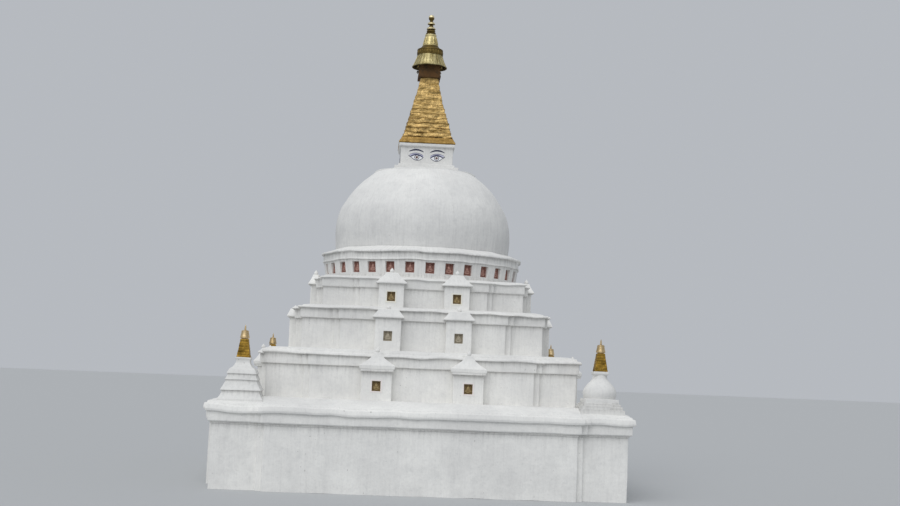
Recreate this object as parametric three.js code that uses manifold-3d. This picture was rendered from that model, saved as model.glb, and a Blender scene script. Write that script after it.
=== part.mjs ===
// Whitewashed stupa. Four terraces of stepped plan carry a round drum with a ring of
// niches, a dome, a square harmika and a gilded spire with its parasol and pinnacle.
// Millimetres, +Z up, origin on the ground at the axis, the front looks towards -Y.
import * as THREE from 'three';
import { mergeVertices } from 'three/addons/utils/BufferGeometryUtils.js';
import Module from 'manifold-3d';

const wasm = await Module();
wasm.setup();

// Running gap where one piece is let into another
const GAP = 0.4;

// Terraces, lowest first. half is the corner block's half-width; bayHalf and stripHalf
// are the half-lengths of the wide bay and of the narrow strip on each side of it. The
// levels are heights: foot, underside and top of the string course, underside and top
// of the lip, top of the upright ledge, and the crest where the next storey stands.
const TERRACES = [
  {
    half: 11500, stripHalf: 8950, bayHalf: 8600,
    foot: 0, stringLow: 3550, stringTop: 3700, lipLow: 4200, lipTop: 4560,
    ledgeTop: 4680, crest: 5050,
    stringOut: 60, fasciaOut: 200, lipOut: 300, ledgeOut: 150, crestOut: -1100,
  },
  {
    half: 8900, stripHalf: 6750, bayHalf: 6400,
    foot: 5050, stringLow: 6860, stringTop: 6940, lipLow: 7500, lipTop: 7660,
    ledgeTop: 7800, crest: 7900,
    stringOut: 40, fasciaOut: 120, lipOut: 200, ledgeOut: 0, crestOut: -450,
  },
  {
    half: 7100, stripHalf: 5200, bayHalf: 4850,
    foot: 7900, stringLow: 9610, stringTop: 9680, lipLow: 10220, lipTop: 10340,
    ledgeTop: 10410, crest: 10480,
    stringOut: 40, fasciaOut: 120, lipOut: 230, ledgeOut: 0, crestOut: -400,
  },
  {
    half: 6000, stripHalf: 4100, bayHalf: 3800,
    foot: 10480, stringLow: 11550, stringTop: 11620, lipLow: 12110, lipTop: 12220,
    ledgeTop: 12280, crest: 12320,
    stringOut: 30, fasciaOut: 80, lipOut: 150, ledgeOut: -50, crestOut: -250,
  },
];
const STRIP_OUT = 210;
const BAY_OUT = 450;

// Niche shrines against the bays of the three upper terraces, two to a side. The roof
// slope is drawn in at BEND_AT of its height, by roofBend of its breadth there.
const BEND_AT = 0.4;
const NICHE_DEPTH = 180;
const KNOB_SIDES = 8;
const SHRINES_2 = {
  offset: 2600, width: 1740, front: 9850, back: 9350, foot: 5050, eave: 6680,
  underWidth: 1880, underTop: 6820,
  corniceTop: 7020, roofWidth: 2060, roofFront: 10100, roofTopWidth: 440, roofTop: 7750,
  knobRadius: 110, knobTop: 8060, nicheWidth: 510, nicheHeight: 590, nicheMiddle: 5870,
  roofBend: 0.3,
};
const SHRINES_3 = {
  offset: 2060, width: 1500, front: 8100, back: 7400, foot: 7900, eave: 9780,
  underWidth: 1620, underTop: 9800,
  corniceTop: 9850, roofWidth: 1850, roofFront: 8270, roofTopWidth: 1250, roofTop: 10300,
  knobRadius: 110, knobTop: 10570, nicheWidth: 500, nicheHeight: 570, nicheMiddle: 8750,
  roofBend: 0,
};
const SHRINES_4 = {
  offset: 1950, width: 1500, front: 6900, back: 6300, foot: 10480, eave: 11850,
  underWidth: 1620, underTop: 11870,
  corniceTop: 11920, roofWidth: 1850, roofFront: 7070, roofTopWidth: 790, roofTop: 12510,
  knobRadius: 120, knobTop: 12820, nicheWidth: 500, nicheHeight: 570, nicheMiddle: 11100,
  roofBend: 0.15,
};

// Drum and dome
const ROUND_SIDES = 64;
const DRUM_FOOT = { radius: 6190, low: 12320, top: 12500 };
const DRUM = { radiusLow: 6120, radiusTop: 6280, low: 12500, top: 13420 };
const DRUM_NICHES = { count: 32, width: 520, low: 12620, top: 13280, back: 5990, turn: Math.PI / 64 };
const DRUM_FASCIA = { radius: 6300, low: 13420, lipLow: 13860, lipRadius: 6400, top: 13990 };
const APRON = { radiusLow: 6320, radiusTop: 5640, low: 13990, top: 14260 };
const DOME_SIDES = 64;
const DOME_RINGS = 10;
const DOME_FOOT = 14260;
const DOME_PROFILE = [
  [5570, 0], [5630, 1040], [5580, 1840], [5400, 2590], [5060, 3240],
  [4630, 3890], [4060, 4530], [3230, 5200],
];
const DOME_CAP = { radiusLow: 3210, radiusTop: 2850, low: 19460, top: 19560 };

// Square harmika and the gilded plate over it, as [half-width, height] profiles
const PLINTH = [[2040, 19560], [2040, 19740], [1800, 19740], [1800, 19910]];
const HARMIKA = [[1675, 19910], [1675, 21000]];
const HARMIKA_CORNICE = [[1715, 21000], [1790, 21060], [1790, 21270]];
const BASE_PLATE = [[1810, 21270], [1810, 21350], [1690, 21490], [1605, 21730]];

// Square spire of thirteen tiers, slightly hollow in outline
const SPIRE = { tiers: 13, halfLow: 1600, halfTop: 565, low: 21730, top: 25870, hollow: 1.2 };
const TIER_SETBACK = 34;

// Neck, parasol and pinnacle
const NECK = {
  flangeHalf: 735, flangeTop: 25980, half: 695, low: 25870,
  coreHalf: 430, coreLow: 26720, top: 27280,
};
const SKIRT_SIDES = 32;
const SKIRT = { rimRadius: 1130, rimLow: 26600, topRadius: 805, top: 27370, wall: 45, plate: 90 };
const CROWN_SIDES = 20;
const CROWN = [
  [790, 27370], [835, 27400], [835, 27730], [795, 27770], [590, 27860], [500, 28000],
];
const BELL = [
  [500, 28000], [520, 28040], [495, 28130], [415, 28440], [350, 28630], [373, 28650],
  [373, 28770], [290, 28810],
];
const RINGS = [
  [160, 28810], [160, 28880], [330, 28890], [330, 28980], [285, 29000], [285, 29090],
  [150, 29110], [150, 29160], [300, 29170], [300, 29270], [230, 29350], [150, 29370],
  [150, 29490], [246, 29500], [246, 29600], [180, 29670], [100, 29690], [100, 29850],
];
const JEWEL = [
  [100, 29850], [160, 29890], [190, 29980], [165, 30070], [80, 30125], [0, 30140],
];

// Small chortens on the corners of the lowest terrace
const CHORTEN_REACH = 10060;
const CHORTEN_BASE_HALF = 1250;
const CHORTEN_CUT_TOP = 6000;
const STEPPED_CHORTEN = [
  [CHORTEN_BASE_HALF, TERRACES[0].lipTop], [CHORTEN_BASE_HALF, 4900],
  [1140, 5050], [1050, 5340], [1105, 5350], [1105, 5390],
  [960, 5650], [850, 5910], [888, 5920], [888, 5960],
  [775, 6240], [812, 6250], [812, 6300],
  [730, 6490], [550, 6620], [460, 6750], [390, 6870], [380, 7000],
  [435, 7110], [435, 7170],
];
const VASE_STEPS = [
  [CHORTEN_BASE_HALF, TERRACES[0].lipTop], [CHORTEN_BASE_HALF, 5060],
  [1140, 5060], [1140, 5240], [1040, 5240], [1040, 5380], [945, 5380], [945, 5640],
];
const VASE_SIDES = 20;
const VASE = [
  [890, 5630], [950, 5930], [895, 6170], [775, 6360], [590, 6570], [450, 6730],
  [405, 6890], [400, 7060],
];
const VASE_PLATE = [[385, 6970], [428, 7040], [428, 7170]];
const FINIAL = { tiers: 7, halfLow: 370, halfTop: 215, low: 7170, top: 8200, hollow: 1.05 };
const FINIAL_SETBACK = 10;
const FINIAL_SIDES = 12;
const FINIAL_TOP = [
  [190, 8180], [190, 8240], [265, 8250], [258, 8320], [212, 8550], [205, 8640],
  [150, 8685], [50, 8700], [45, 8840], [25, 8950], [0, 9020],
];

// Finishes
const whitewash = new THREE.MeshStandardMaterial({ color: 0xe6e3da, roughness: 0.95 });
const gilding = new THREE.MeshStandardMaterial({ color: 0xc09a3e, roughness: 0.4, metalness: 1 });
const copper = new THREE.MeshStandardMaterial({ color: 0x6b3a1e, roughness: 0.6, metalness: 0.6 });
const bronze = new THREE.MeshStandardMaterial({ color: 0x6a5430, roughness: 0.5, metalness: 1 });

const stupa = new THREE.Group();

function piece(name, geometry, material) {
  geometry.computeVertexNormals();
  const mesh = new THREE.Mesh(geometry, material);
  mesh.name = name;
  stupa.add(mesh);
}

// The solid that a closed geometry encloses, ready to be joined or cut
function solid(geometry) {
  const bare = geometry.clone();
  bare.deleteAttribute('normal');
  bare.deleteAttribute('uv');
  const merged = mergeVertices(bare, 0.01);
  const corners = merged.getIndex().array;
  const triangles = [];
  for (let i = 0; i < corners.length; i += 3) {
    const [a, b, c] = corners.slice(i, i + 3);
    if (a !== b && b !== c && c !== a) triangles.push(a, b, c);
  }
  return new wasm.Manifold(new wasm.Mesh({
    numProp: 3,
    vertProperties: new Float32Array(merged.getAttribute('position').array),
    triVerts: new Uint32Array(triangles),
  }));
}

function geometryOf(body) {
  const mesh = body.getMesh();
  const geometry = new THREE.BufferGeometry();
  geometry.setAttribute('position', new THREE.BufferAttribute(mesh.vertProperties, 3));
  geometry.setIndex(new THREE.BufferAttribute(mesh.triVerts, 1));
  return geometry;
}

function joined(geometries) {
  return geometries.map(solid).reduce((whole, next) => whole.add(next));
}

function block(x0, x1, y0, y1, z0, z1) {
  const box = new THREE.BoxGeometry(x1 - x0, y1 - y0, z1 - z0);
  return box.translate((x0 + x1) / 2, (y0 + y1) / 2, (z0 + z1) / 2);
}

// A profile of [radius, height] pairs, bottom to top, turned about the Z axis and
// closed at both ends
function turned(profile, sides, startAngle = 0) {
  const [, low] = profile[0];
  const [topRadius, top] = profile[profile.length - 1];
  const outline = [[0, low], ...profile];
  if (topRadius > 0) outline.push([0, top]);
  const points = outline.map(([radius, height]) => new THREE.Vector2(radius, height));
  return new THREE.LatheGeometry(points, sides, startAngle).rotateX(Math.PI / 2);
}

// The same for a square piece, with half-widths in place of radii
function squared(profile) {
  const diagonals = profile.map(([half, height]) => [half * Math.SQRT2, height]);
  return turned(diagonals, 4, Math.PI / 4);
}

// Stepped plan of a storey: a square whose sides stand forward in a narrow strip and
// then in a wide bay, which leaves twenty outer corners
function steppedPlan({ half, stripHalf, bayHalf }) {
  const quarter = [
    [half + BAY_OUT, -bayHalf],
    [half + BAY_OUT, bayHalf],
    [half + STRIP_OUT, bayHalf],
    [half + STRIP_OUT, stripHalf],
    [half, stripHalf],
    [half, half],
    [stripHalf, half],
    [stripHalf, half + STRIP_OUT],
    [bayHalf, half + STRIP_OUT],
  ];
  const plan = [];
  for (let turn = 0; turn < 4; turn += 1) {
    quarter.forEach((corner) => {
      let [x, y] = corner;
      for (let step = 0; step < turn; step += 1) [x, y] = [-y, x];
      plan.push([x, y]);
    });
  }
  return plan;
}

// A plan raised through a profile of [outset, height] pairs, bottom to top. Every wall
// face moves out by the outset, so the corners stay square.
function moulded(plan, profile) {
  const shape = new THREE.Shape(plan.map(([x, y]) => new THREE.Vector2(x, y)));
  const layers = profile.length - 1;
  const options = { depth: layers, steps: layers, bevelEnabled: false };
  const geometry = new THREE.ExtrudeGeometry(shape, options);
  const place = geometry.getAttribute('position');
  for (let i = 0; i < place.count; i += 1) {
    const [outset, height] = profile[Math.round(place.getZ(i))];
    const x = place.getX(i);
    const y = place.getY(i);
    place.setXYZ(i, x + Math.sign(x) * outset, y + Math.sign(y) * outset, height);
  }
  return geometry;
}

// One niche shrine on the front side: body, eave slab, roof and knob. With a margin it
// is the pocket that the terrace leaves round it, which has no niche.
function shrine(size, offset, margin = 0) {
  const half = size.width / 2 + margin;
  const roofHalf = size.roofWidth / 2 + margin;
  const topHalf = size.roofTopWidth / 2 + margin;
  const roofDepth = size.roofFront - size.back;
  const roofMiddle = -(size.roofFront + size.back) / 2;
  const depthShare = (roofDepth + 2 * margin) / (2 * roofHalf);
  const underHalf = size.underWidth / 2 + margin;
  const bendHalf = topHalf + (roofHalf - topHalf) * (1 - size.roofBend) * (1 - BEND_AT);
  const bendHeight = size.corniceTop + (size.roofTop - size.corniceTop) * BEND_AT;
  const roof = squared([
    [half, size.eave - margin],
    [underHalf, size.eave - margin],
    [underHalf, size.underTop - margin],
    [roofHalf, size.underTop - margin],
    [roofHalf, size.corniceTop + margin],
    [bendHalf, bendHeight + margin],
    [topHalf, size.roofTop + margin],
  ]);
  roof.scale(1, depthShare, 1).translate(offset, roofMiddle, 0);
  const knob = turned([
    [size.knobRadius * 0.7 + margin, size.roofTop - 40],
    [size.knobRadius * 0.7 + margin, size.roofTop + 40],
    [size.knobRadius + margin, size.roofTop + 90],
    [size.knobRadius * 0.8 + margin, size.roofTop + 160],
    [size.knobRadius * 0.2 + margin, size.knobTop + margin],
  ], KNOB_SIDES);
  knob.translate(offset, roofMiddle, 0);
  const bodyTop = size.eave + 10;
  const body = block(
    offset - half, offset + half, -size.front - margin, -size.back + margin, size.foot, bodyTop,
  );
  const mass = joined([body, roof, knob]);
  if (margin > 0) return mass;
  const niche = block(
    offset - size.nicheWidth / 2, offset + size.nicheWidth / 2,
    -size.front - 50, -size.front + NICHE_DEPTH,
    size.nicheMiddle - size.nicheHeight / 2, size.nicheMiddle + size.nicheHeight / 2,
  );
  return mass.subtract(solid(niche));
}

// The eight like shrines of a terrace, named for the side and the end where they stand
const SHRINE_PLACES = [
  { turn: 0, side: -1, name: 'front_left' },
  { turn: 0, side: 1, name: 'front_right' },
  { turn: 90, side: -1, name: 'right_front' },
  { turn: 90, side: 1, name: 'right_back' },
  { turn: 180, side: -1, name: 'back_right' },
  { turn: 180, side: 1, name: 'back_left' },
  { turn: 270, side: -1, name: 'left_back' },
  { turn: 270, side: 1, name: 'left_front' },
];

function shrines(size, margin) {
  return SHRINE_PLACES.map(({ turn, side, name }) => ({
    name,
    body: shrine(size, side * size.offset, margin).rotate([0, 0, turn]),
  }));
}

function union(bodies) {
  return bodies.reduce((whole, next) => whole.add(next));
}

// A terrace is built as wall, cornice and sloped top. Shrines that stand against it
// are let into its cornice and top.
function terrace(level) {
  const plan = steppedPlan(level);
  const wall = moulded(plan, [
    [0, level.foot],
    [0, level.stringLow],
    [level.stringOut, level.stringLow],
    [level.stringOut, level.stringTop],
  ]);
  const cornice = moulded(plan, [
    [level.fasciaOut, level.stringTop],
    [level.fasciaOut, level.lipLow],
    [level.lipOut, level.lipLow],
    [level.lipOut, level.lipTop],
  ]);
  const top = moulded(plan, [
    [level.ledgeOut, level.lipTop],
    [level.ledgeOut, level.ledgeTop],
    [level.crestOut, level.crest],
  ]);
  return { wall, cornice, top };
}

function addTerrace(number, wall, cornice, top) {
  piece(`terrace_${number}_wall`, wall, whitewash);
  piece(`terrace_${number}_cornice`, cornice, whitewash);
  piece(`terrace_${number}_top`, top, whitewash);
}

// Lowest terrace: its top is let in round the bases of the corner chortens, whose inner
// corners are cut away to abut the corners of the second terrace
const CORNERS = [
  { x: -1, y: -1, name: 'front_left', stepped: true },
  { x: 1, y: -1, name: 'front_right', stepped: false },
  { x: 1, y: 1, name: 'back_right', stepped: true },
  { x: -1, y: 1, name: 'back_left', stepped: false },
];
const cornerOf = (half) => solid(
  block(-half, half, -half, half, TERRACES[0].lipTop - 50, CHORTEN_CUT_TOP),
);
const chortenPockets = CORNERS.map(({ x, y }) => {
  const reach = CHORTEN_BASE_HALF + GAP;
  const [low, high] = [TERRACES[0].lipTop - 10, TERRACES[0].crest + 10];
  const pocket = block(-reach, reach, -reach, reach, low, high);
  const placed = solid(pocket.translate(x * CHORTEN_REACH, y * CHORTEN_REACH, 0));
  return placed.subtract(cornerOf(TERRACES[1].half));
});
const terrace1 = terrace(TERRACES[0]);
addTerrace(
  1,
  terrace1.wall,
  terrace1.cornice,
  geometryOf(solid(terrace1.top).subtract(union(chortenPockets))),
);

// Second terrace: its shrines are pieces of their own
const terrace2 = terrace(TERRACES[1]);
const pockets2 = union(shrines(SHRINES_2, GAP).map(({ body }) => body));
addTerrace(
  2,
  geometryOf(solid(terrace2.wall).subtract(pockets2)),
  geometryOf(solid(terrace2.cornice).subtract(pockets2)),
  geometryOf(solid(terrace2.top).subtract(pockets2)),
);
shrines(SHRINES_2).forEach(({ name, body }) => {
  piece(`${name}_shrine`, geometryOf(body), whitewash);
});

// Third and fourth terraces: their shrines are bonded into the wall
[[3, TERRACES[2], SHRINES_3], [4, TERRACES[3], SHRINES_4]].forEach(([number, level, size]) => {
  const { wall, cornice, top } = terrace(level);
  const pockets = union(shrines(size, GAP).map(({ body }) => body));
  const bodies = union(shrines(size).map(({ body }) => body));
  addTerrace(
    number,
    geometryOf(solid(wall).add(bodies)),
    geometryOf(solid(cornice).subtract(pockets)),
    geometryOf(solid(top).subtract(pockets)),
  );
});

// Drum: a low foot, the wall with its niches, the fascia with its lip, and the apron
piece('drum_foot', turned([
  [DRUM_FOOT.radius, DRUM_FOOT.low],
  [DRUM_FOOT.radius, DRUM_FOOT.top],
], ROUND_SIDES), whitewash);

const drumNiches = [];
for (let i = 0; i < DRUM_NICHES.count; i += 1) {
  const hole = block(
    -DRUM_NICHES.width / 2, DRUM_NICHES.width / 2,
    -DRUM.radiusTop - 100, -DRUM_NICHES.back,
    DRUM_NICHES.low, DRUM_NICHES.top,
  );
  const angle = DRUM_NICHES.turn + (2 * Math.PI * i) / DRUM_NICHES.count;
  drumNiches.push(solid(hole.rotateZ(angle)));
}
const drumMass = turned([
  [DRUM.radiusLow, DRUM.low],
  [DRUM.radiusTop, DRUM.top],
], ROUND_SIDES);
piece('drum_wall', geometryOf(solid(drumMass).subtract(union(drumNiches))), whitewash);

piece('drum_cornice', turned([
  [DRUM_FASCIA.radius, DRUM_FASCIA.low],
  [DRUM_FASCIA.radius, DRUM_FASCIA.lipLow],
  [DRUM_FASCIA.lipRadius, DRUM_FASCIA.lipLow],
  [DRUM_FASCIA.lipRadius, DRUM_FASCIA.top],
], ROUND_SIDES), whitewash);

piece('drum_apron', turned([
  [APRON.radiusLow, APRON.low],
  [APRON.radiusTop, APRON.top],
], ROUND_SIDES), whitewash);

// Dome: a smooth curve through the measured radii
const domeCurve = new THREE.SplineCurve(
  DOME_PROFILE.map(([radius, height]) => new THREE.Vector2(radius, DOME_FOOT + height)),
);
const domeOutline = domeCurve.getSpacedPoints(DOME_RINGS).map(({ x, y }) => [x, y]);
piece('dome', turned(domeOutline, DOME_SIDES), whitewash);
piece('dome_cap', turned([
  [DOME_CAP.radiusLow, DOME_CAP.low],
  [DOME_CAP.radiusTop, DOME_CAP.top],
], DOME_SIDES), whitewash);

// Harmika
piece('harmika_plinth', squared(PLINTH), whitewash);
piece('harmika', squared(HARMIKA), whitewash);
piece('harmika_cornice', squared(HARMIKA_CORNICE), whitewash);
piece('spire_base_plate', squared(BASE_PLATE), gilding);

// A square spire of tiers: each tier leans in and the next one is set back
function tieredSpire({ tiers, halfLow, halfTop, low, top, hollow }, setback) {
  const halfAt = (share) => halfTop + (halfLow - halfTop) * (1 - share) ** hollow;
  const profile = [];
  for (let tier = 0; tier < tiers; tier += 1) {
    const from = tier / tiers;
    const to = (tier + 1) / tiers;
    profile.push([halfAt(from), low + (top - low) * from]);
    profile.push([halfAt(to) + setback, low + (top - low) * to]);
  }
  return profile;
}
piece('spire', squared(tieredSpire(SPIRE, TIER_SETBACK)), gilding);

// Neck, which runs up inside the parasol and carries it
piece('spire_neck', squared([
  [NECK.flangeHalf, NECK.low],
  [NECK.flangeHalf, NECK.flangeTop],
  [NECK.half, NECK.flangeTop],
  [NECK.half, NECK.coreLow],
  [NECK.coreHalf, NECK.coreLow],
  [NECK.coreHalf, NECK.top - GAP],
]), copper);

// Parasol: an open flared skirt hung from a top plate
const skirtCurve = new THREE.QuadraticBezierCurve(
  new THREE.Vector2(SKIRT.rimRadius, SKIRT.rimLow),
  new THREE.Vector2(SKIRT.topRadius + 60, SKIRT.rimLow + 350),
  new THREE.Vector2(SKIRT.topRadius, SKIRT.top),
);
const skirtOutside = skirtCurve.getPoints(5);
const skirtInside = skirtOutside.slice(0, -1).map(
  ({ x, y }) => new THREE.Vector2(x - SKIRT.wall, y),
).reverse();
const skirtOutline = [
  new THREE.Vector2(0, SKIRT.top - SKIRT.plate),
  new THREE.Vector2(SKIRT.topRadius - SKIRT.wall, SKIRT.top - SKIRT.plate),
  ...skirtInside,
  ...skirtOutside,
  new THREE.Vector2(0, SKIRT.top),
];
piece(
  'parasol_skirt',
  new THREE.LatheGeometry(skirtOutline, SKIRT_SIDES).rotateX(Math.PI / 2),
  gilding,
);
piece('parasol_crown', turned(CROWN, CROWN_SIDES), bronze);
piece('pinnacle_bell', turned(BELL, CROWN_SIDES), gilding);
piece('pinnacle_rings', turned(RINGS, CROWN_SIDES), gilding);
piece('pinnacle_jewel', turned(JEWEL, CROWN_SIDES), gilding);

// Corner chortens: two stepped ones and two with a vase, each with a gilded finial
const finialTiers = squared(tieredSpire(FINIAL, FINIAL_SETBACK));
const finialTop = turned(FINIAL_TOP, FINIAL_SIDES);
CORNERS.forEach(({ x, y, name, stepped }) => {
  const whole = stepped
    ? joined([squared(STEPPED_CHORTEN)])
    : joined([squared(VASE_STEPS), turned(VASE, VASE_SIDES), squared(VASE_PLATE)]);
  const place = [x * CHORTEN_REACH, y * CHORTEN_REACH, 0];
  const masonry = whole.translate(place).subtract(cornerOf(TERRACES[1].half + GAP));
  const finial = joined([finialTiers, finialTop]).translate(place);
  piece(`${name}_chorten`, geometryOf(masonry), whitewash);
  piece(`${name}_chorten_finial`, geometryOf(finial), gilding);
});

export default stupa;
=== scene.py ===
# %% [markdown]
# # Whitewashed stupa
# A stupa is a solid mound of rubble stone. Masons plaster it by hand and brush it with
# lime every year, so its edges wander and its skin shows the brush, the rain and the
# soot. On top stands a spire of gilded copper sheet. This script dresses the packed
# model of it: each plain solid is replaced by a piece with the real surface, and every
# size comes from the same drawing as the solids, in metres.

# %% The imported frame
import math
from collections import namedtuple

import bmesh
import bpy
from mathutils import Euler, Matrix, Vector, noise


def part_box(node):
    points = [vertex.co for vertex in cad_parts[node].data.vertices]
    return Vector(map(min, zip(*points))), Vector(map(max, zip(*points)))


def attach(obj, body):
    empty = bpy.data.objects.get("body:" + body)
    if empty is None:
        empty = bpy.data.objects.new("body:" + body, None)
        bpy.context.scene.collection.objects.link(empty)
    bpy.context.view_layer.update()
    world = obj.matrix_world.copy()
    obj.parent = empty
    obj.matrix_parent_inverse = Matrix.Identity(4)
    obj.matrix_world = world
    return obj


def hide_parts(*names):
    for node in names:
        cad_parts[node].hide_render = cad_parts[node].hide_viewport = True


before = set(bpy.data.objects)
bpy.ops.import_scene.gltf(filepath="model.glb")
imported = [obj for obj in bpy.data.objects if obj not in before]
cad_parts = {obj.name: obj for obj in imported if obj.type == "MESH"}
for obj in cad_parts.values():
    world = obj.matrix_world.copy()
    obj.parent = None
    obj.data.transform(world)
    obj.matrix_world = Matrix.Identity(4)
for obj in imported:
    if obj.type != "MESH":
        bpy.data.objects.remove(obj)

HAND_SEED = 7     # fixes the swells and dents, so that every run gives the same shapes
noise.seed_set(HAND_SEED)
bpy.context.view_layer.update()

# %% [markdown]
# ## Colour and nodes
# Paints and metals are named by the colour that a screen shows, so one function turns
# such a hex value into the linear light that the renderer counts in. One more function
# adds any node, sets it and links it. The last one finishes a surface as the craftsman
# does: a ground colour, then layer over layer, then the fine relief of tool and brush.

# %% Colour and node helpers
MATH, VECTOR_MATH = "ShaderNodeMath", "ShaderNodeVectorMath"


def srgb(code):
    """An sRGB hex value as linear red, green, blue and alpha."""
    channels = [int(code[i:i + 2], 16) / 255 for i in (1, 3, 5)]
    linear = [c / 12.92 if c <= 0.04045 else ((c + 0.055) / 1.055) ** 2.4 for c in channels]
    return (*linear, 1.0)


def add_node(tree, kind, sockets=None, out=0, **settings):
    """One node with its settings. Each socket takes a value or a link. Returns one output."""
    node = tree.nodes.new(kind)
    for name, value in settings.items():
        setattr(node, name, value)
    for socket, value in (sockets or {}).items():
        if isinstance(value, bpy.types.NodeSocket):
            tree.links.new(value, node.inputs[socket])
        else:
            node.inputs[socket].default_value = value
    return node.outputs[out] if node.outputs else None


print("chalk white in linear light:", [round(c, 3) for c in srgb("#F1F0EC")[:3]])

# %% Surfaces built up in layers
def new_material(name, roughness, metallic=0.0):
    """A material with its tree, its shader and the place of each point on the object."""
    material = bpy.data.materials.new(name)
    material.use_nodes = True
    tree = material.node_tree
    shader = tree.nodes["Principled BSDF"]
    shader.inputs["Roughness"].default_value = roughness
    shader.inputs["Metallic"].default_value = metallic
    return material, tree, shader, add_node(tree, "ShaderNodeTexCoord", out="Object")


def clouds(tree, place, scale, low, high, detail=4.0, stretch=None):
    """Noise of so many waves to the metre, spread from 0 at low to 1 at high."""
    if stretch:
        place = add_node(tree, "ShaderNodeMapping", {"Vector": place, "Scale": stretch})
    grain = add_node(tree, "ShaderNodeTexNoise",
                     {"Vector": place, "Scale": scale, "Detail": detail, "Roughness": 0.6}, "Fac")
    return add_node(tree, "ShaderNodeMapRange", {0: grain, 1: low, 2: high})


def dress(tree, shader, ground, layers, reliefs=()):
    """Gives a shader its colour and its relief.

    A layer is (where it lies, from 0 to 1; strength; colour), over all layers before it.
    A relief is (height, depth in metres, strength), and the broadest comes first.
    """
    colour = srgb(ground)
    for share, strength, code in layers:
        cover = add_node(tree, MATH, {0: share, 1: strength}, operation="MULTIPLY")
        colour = add_node(tree, "ShaderNodeMix", {0: cover, 6: colour, 7: srgb(code)}, 2, data_type="RGBA")
    tree.links.new(colour, shader.inputs["Base Color"])
    bump = None
    for height, depth, strength in reliefs:
        sockets = {"Height": height, "Distance": depth, "Strength": strength}
        if bump:
            sockets["Normal"] = bump
        bump = add_node(tree, "ShaderNodeBump", sockets)
    if bump:
        tree.links.new(bump, shader.inputs["Normal"])

# %% [markdown]
# ## Limewash
# The skin is slaked lime brushed over lime plaster: chalky, almost without gloss, and
# whitest where it is newest. Rain washes soot down it in vertical streaks, which start
# under the ledges, so each masonry piece carries an attribute, ledge_dirt_and_shade, that
# says how near it lies under a ledge. It sets how strong the streaks are there, and it
# also darkens the wall right under each ledge as painted shade. A second one, soot, is
# the even film that an old coat has all over. Streaks are noise that is fine across the
# wall and long down it. On the dome they have to run down the meridians, so there the
# noise is read from the direction out of the axis and not from the plain place. The dome
# is washed from its cap, and what the rain carries off settles lower down, so it is
# greyer there; that grey towards its foot is also painted shade.

# %% Limewash on walls and on the round
STREAKS_PER_METRE = 7.0   # a streak is about 140 mm wide, as rain tracks are
STREAK_LENGTH = 0.09      # and some eleven times as long as it is wide
WALL_STREAKS = 0.1        # strength of the streaks on a flat wall, away from ledges
ROUND_STREAKS = 0.19      # and on a round one
LEDGE_STREAKS = 0.4       # what the dirt of a ledge adds right under it
DOME_RADIUS = 5.6
GREY_BELOW = 14.2         # height on the dome up to which the grey of dirt and painted shade is full
PLAIN_ABOVE = 18.6        # and above which none is left
BRUSH_PER_METRE = 16.0    # brush marks of 60 mm, drawn coarse enough to show


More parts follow.
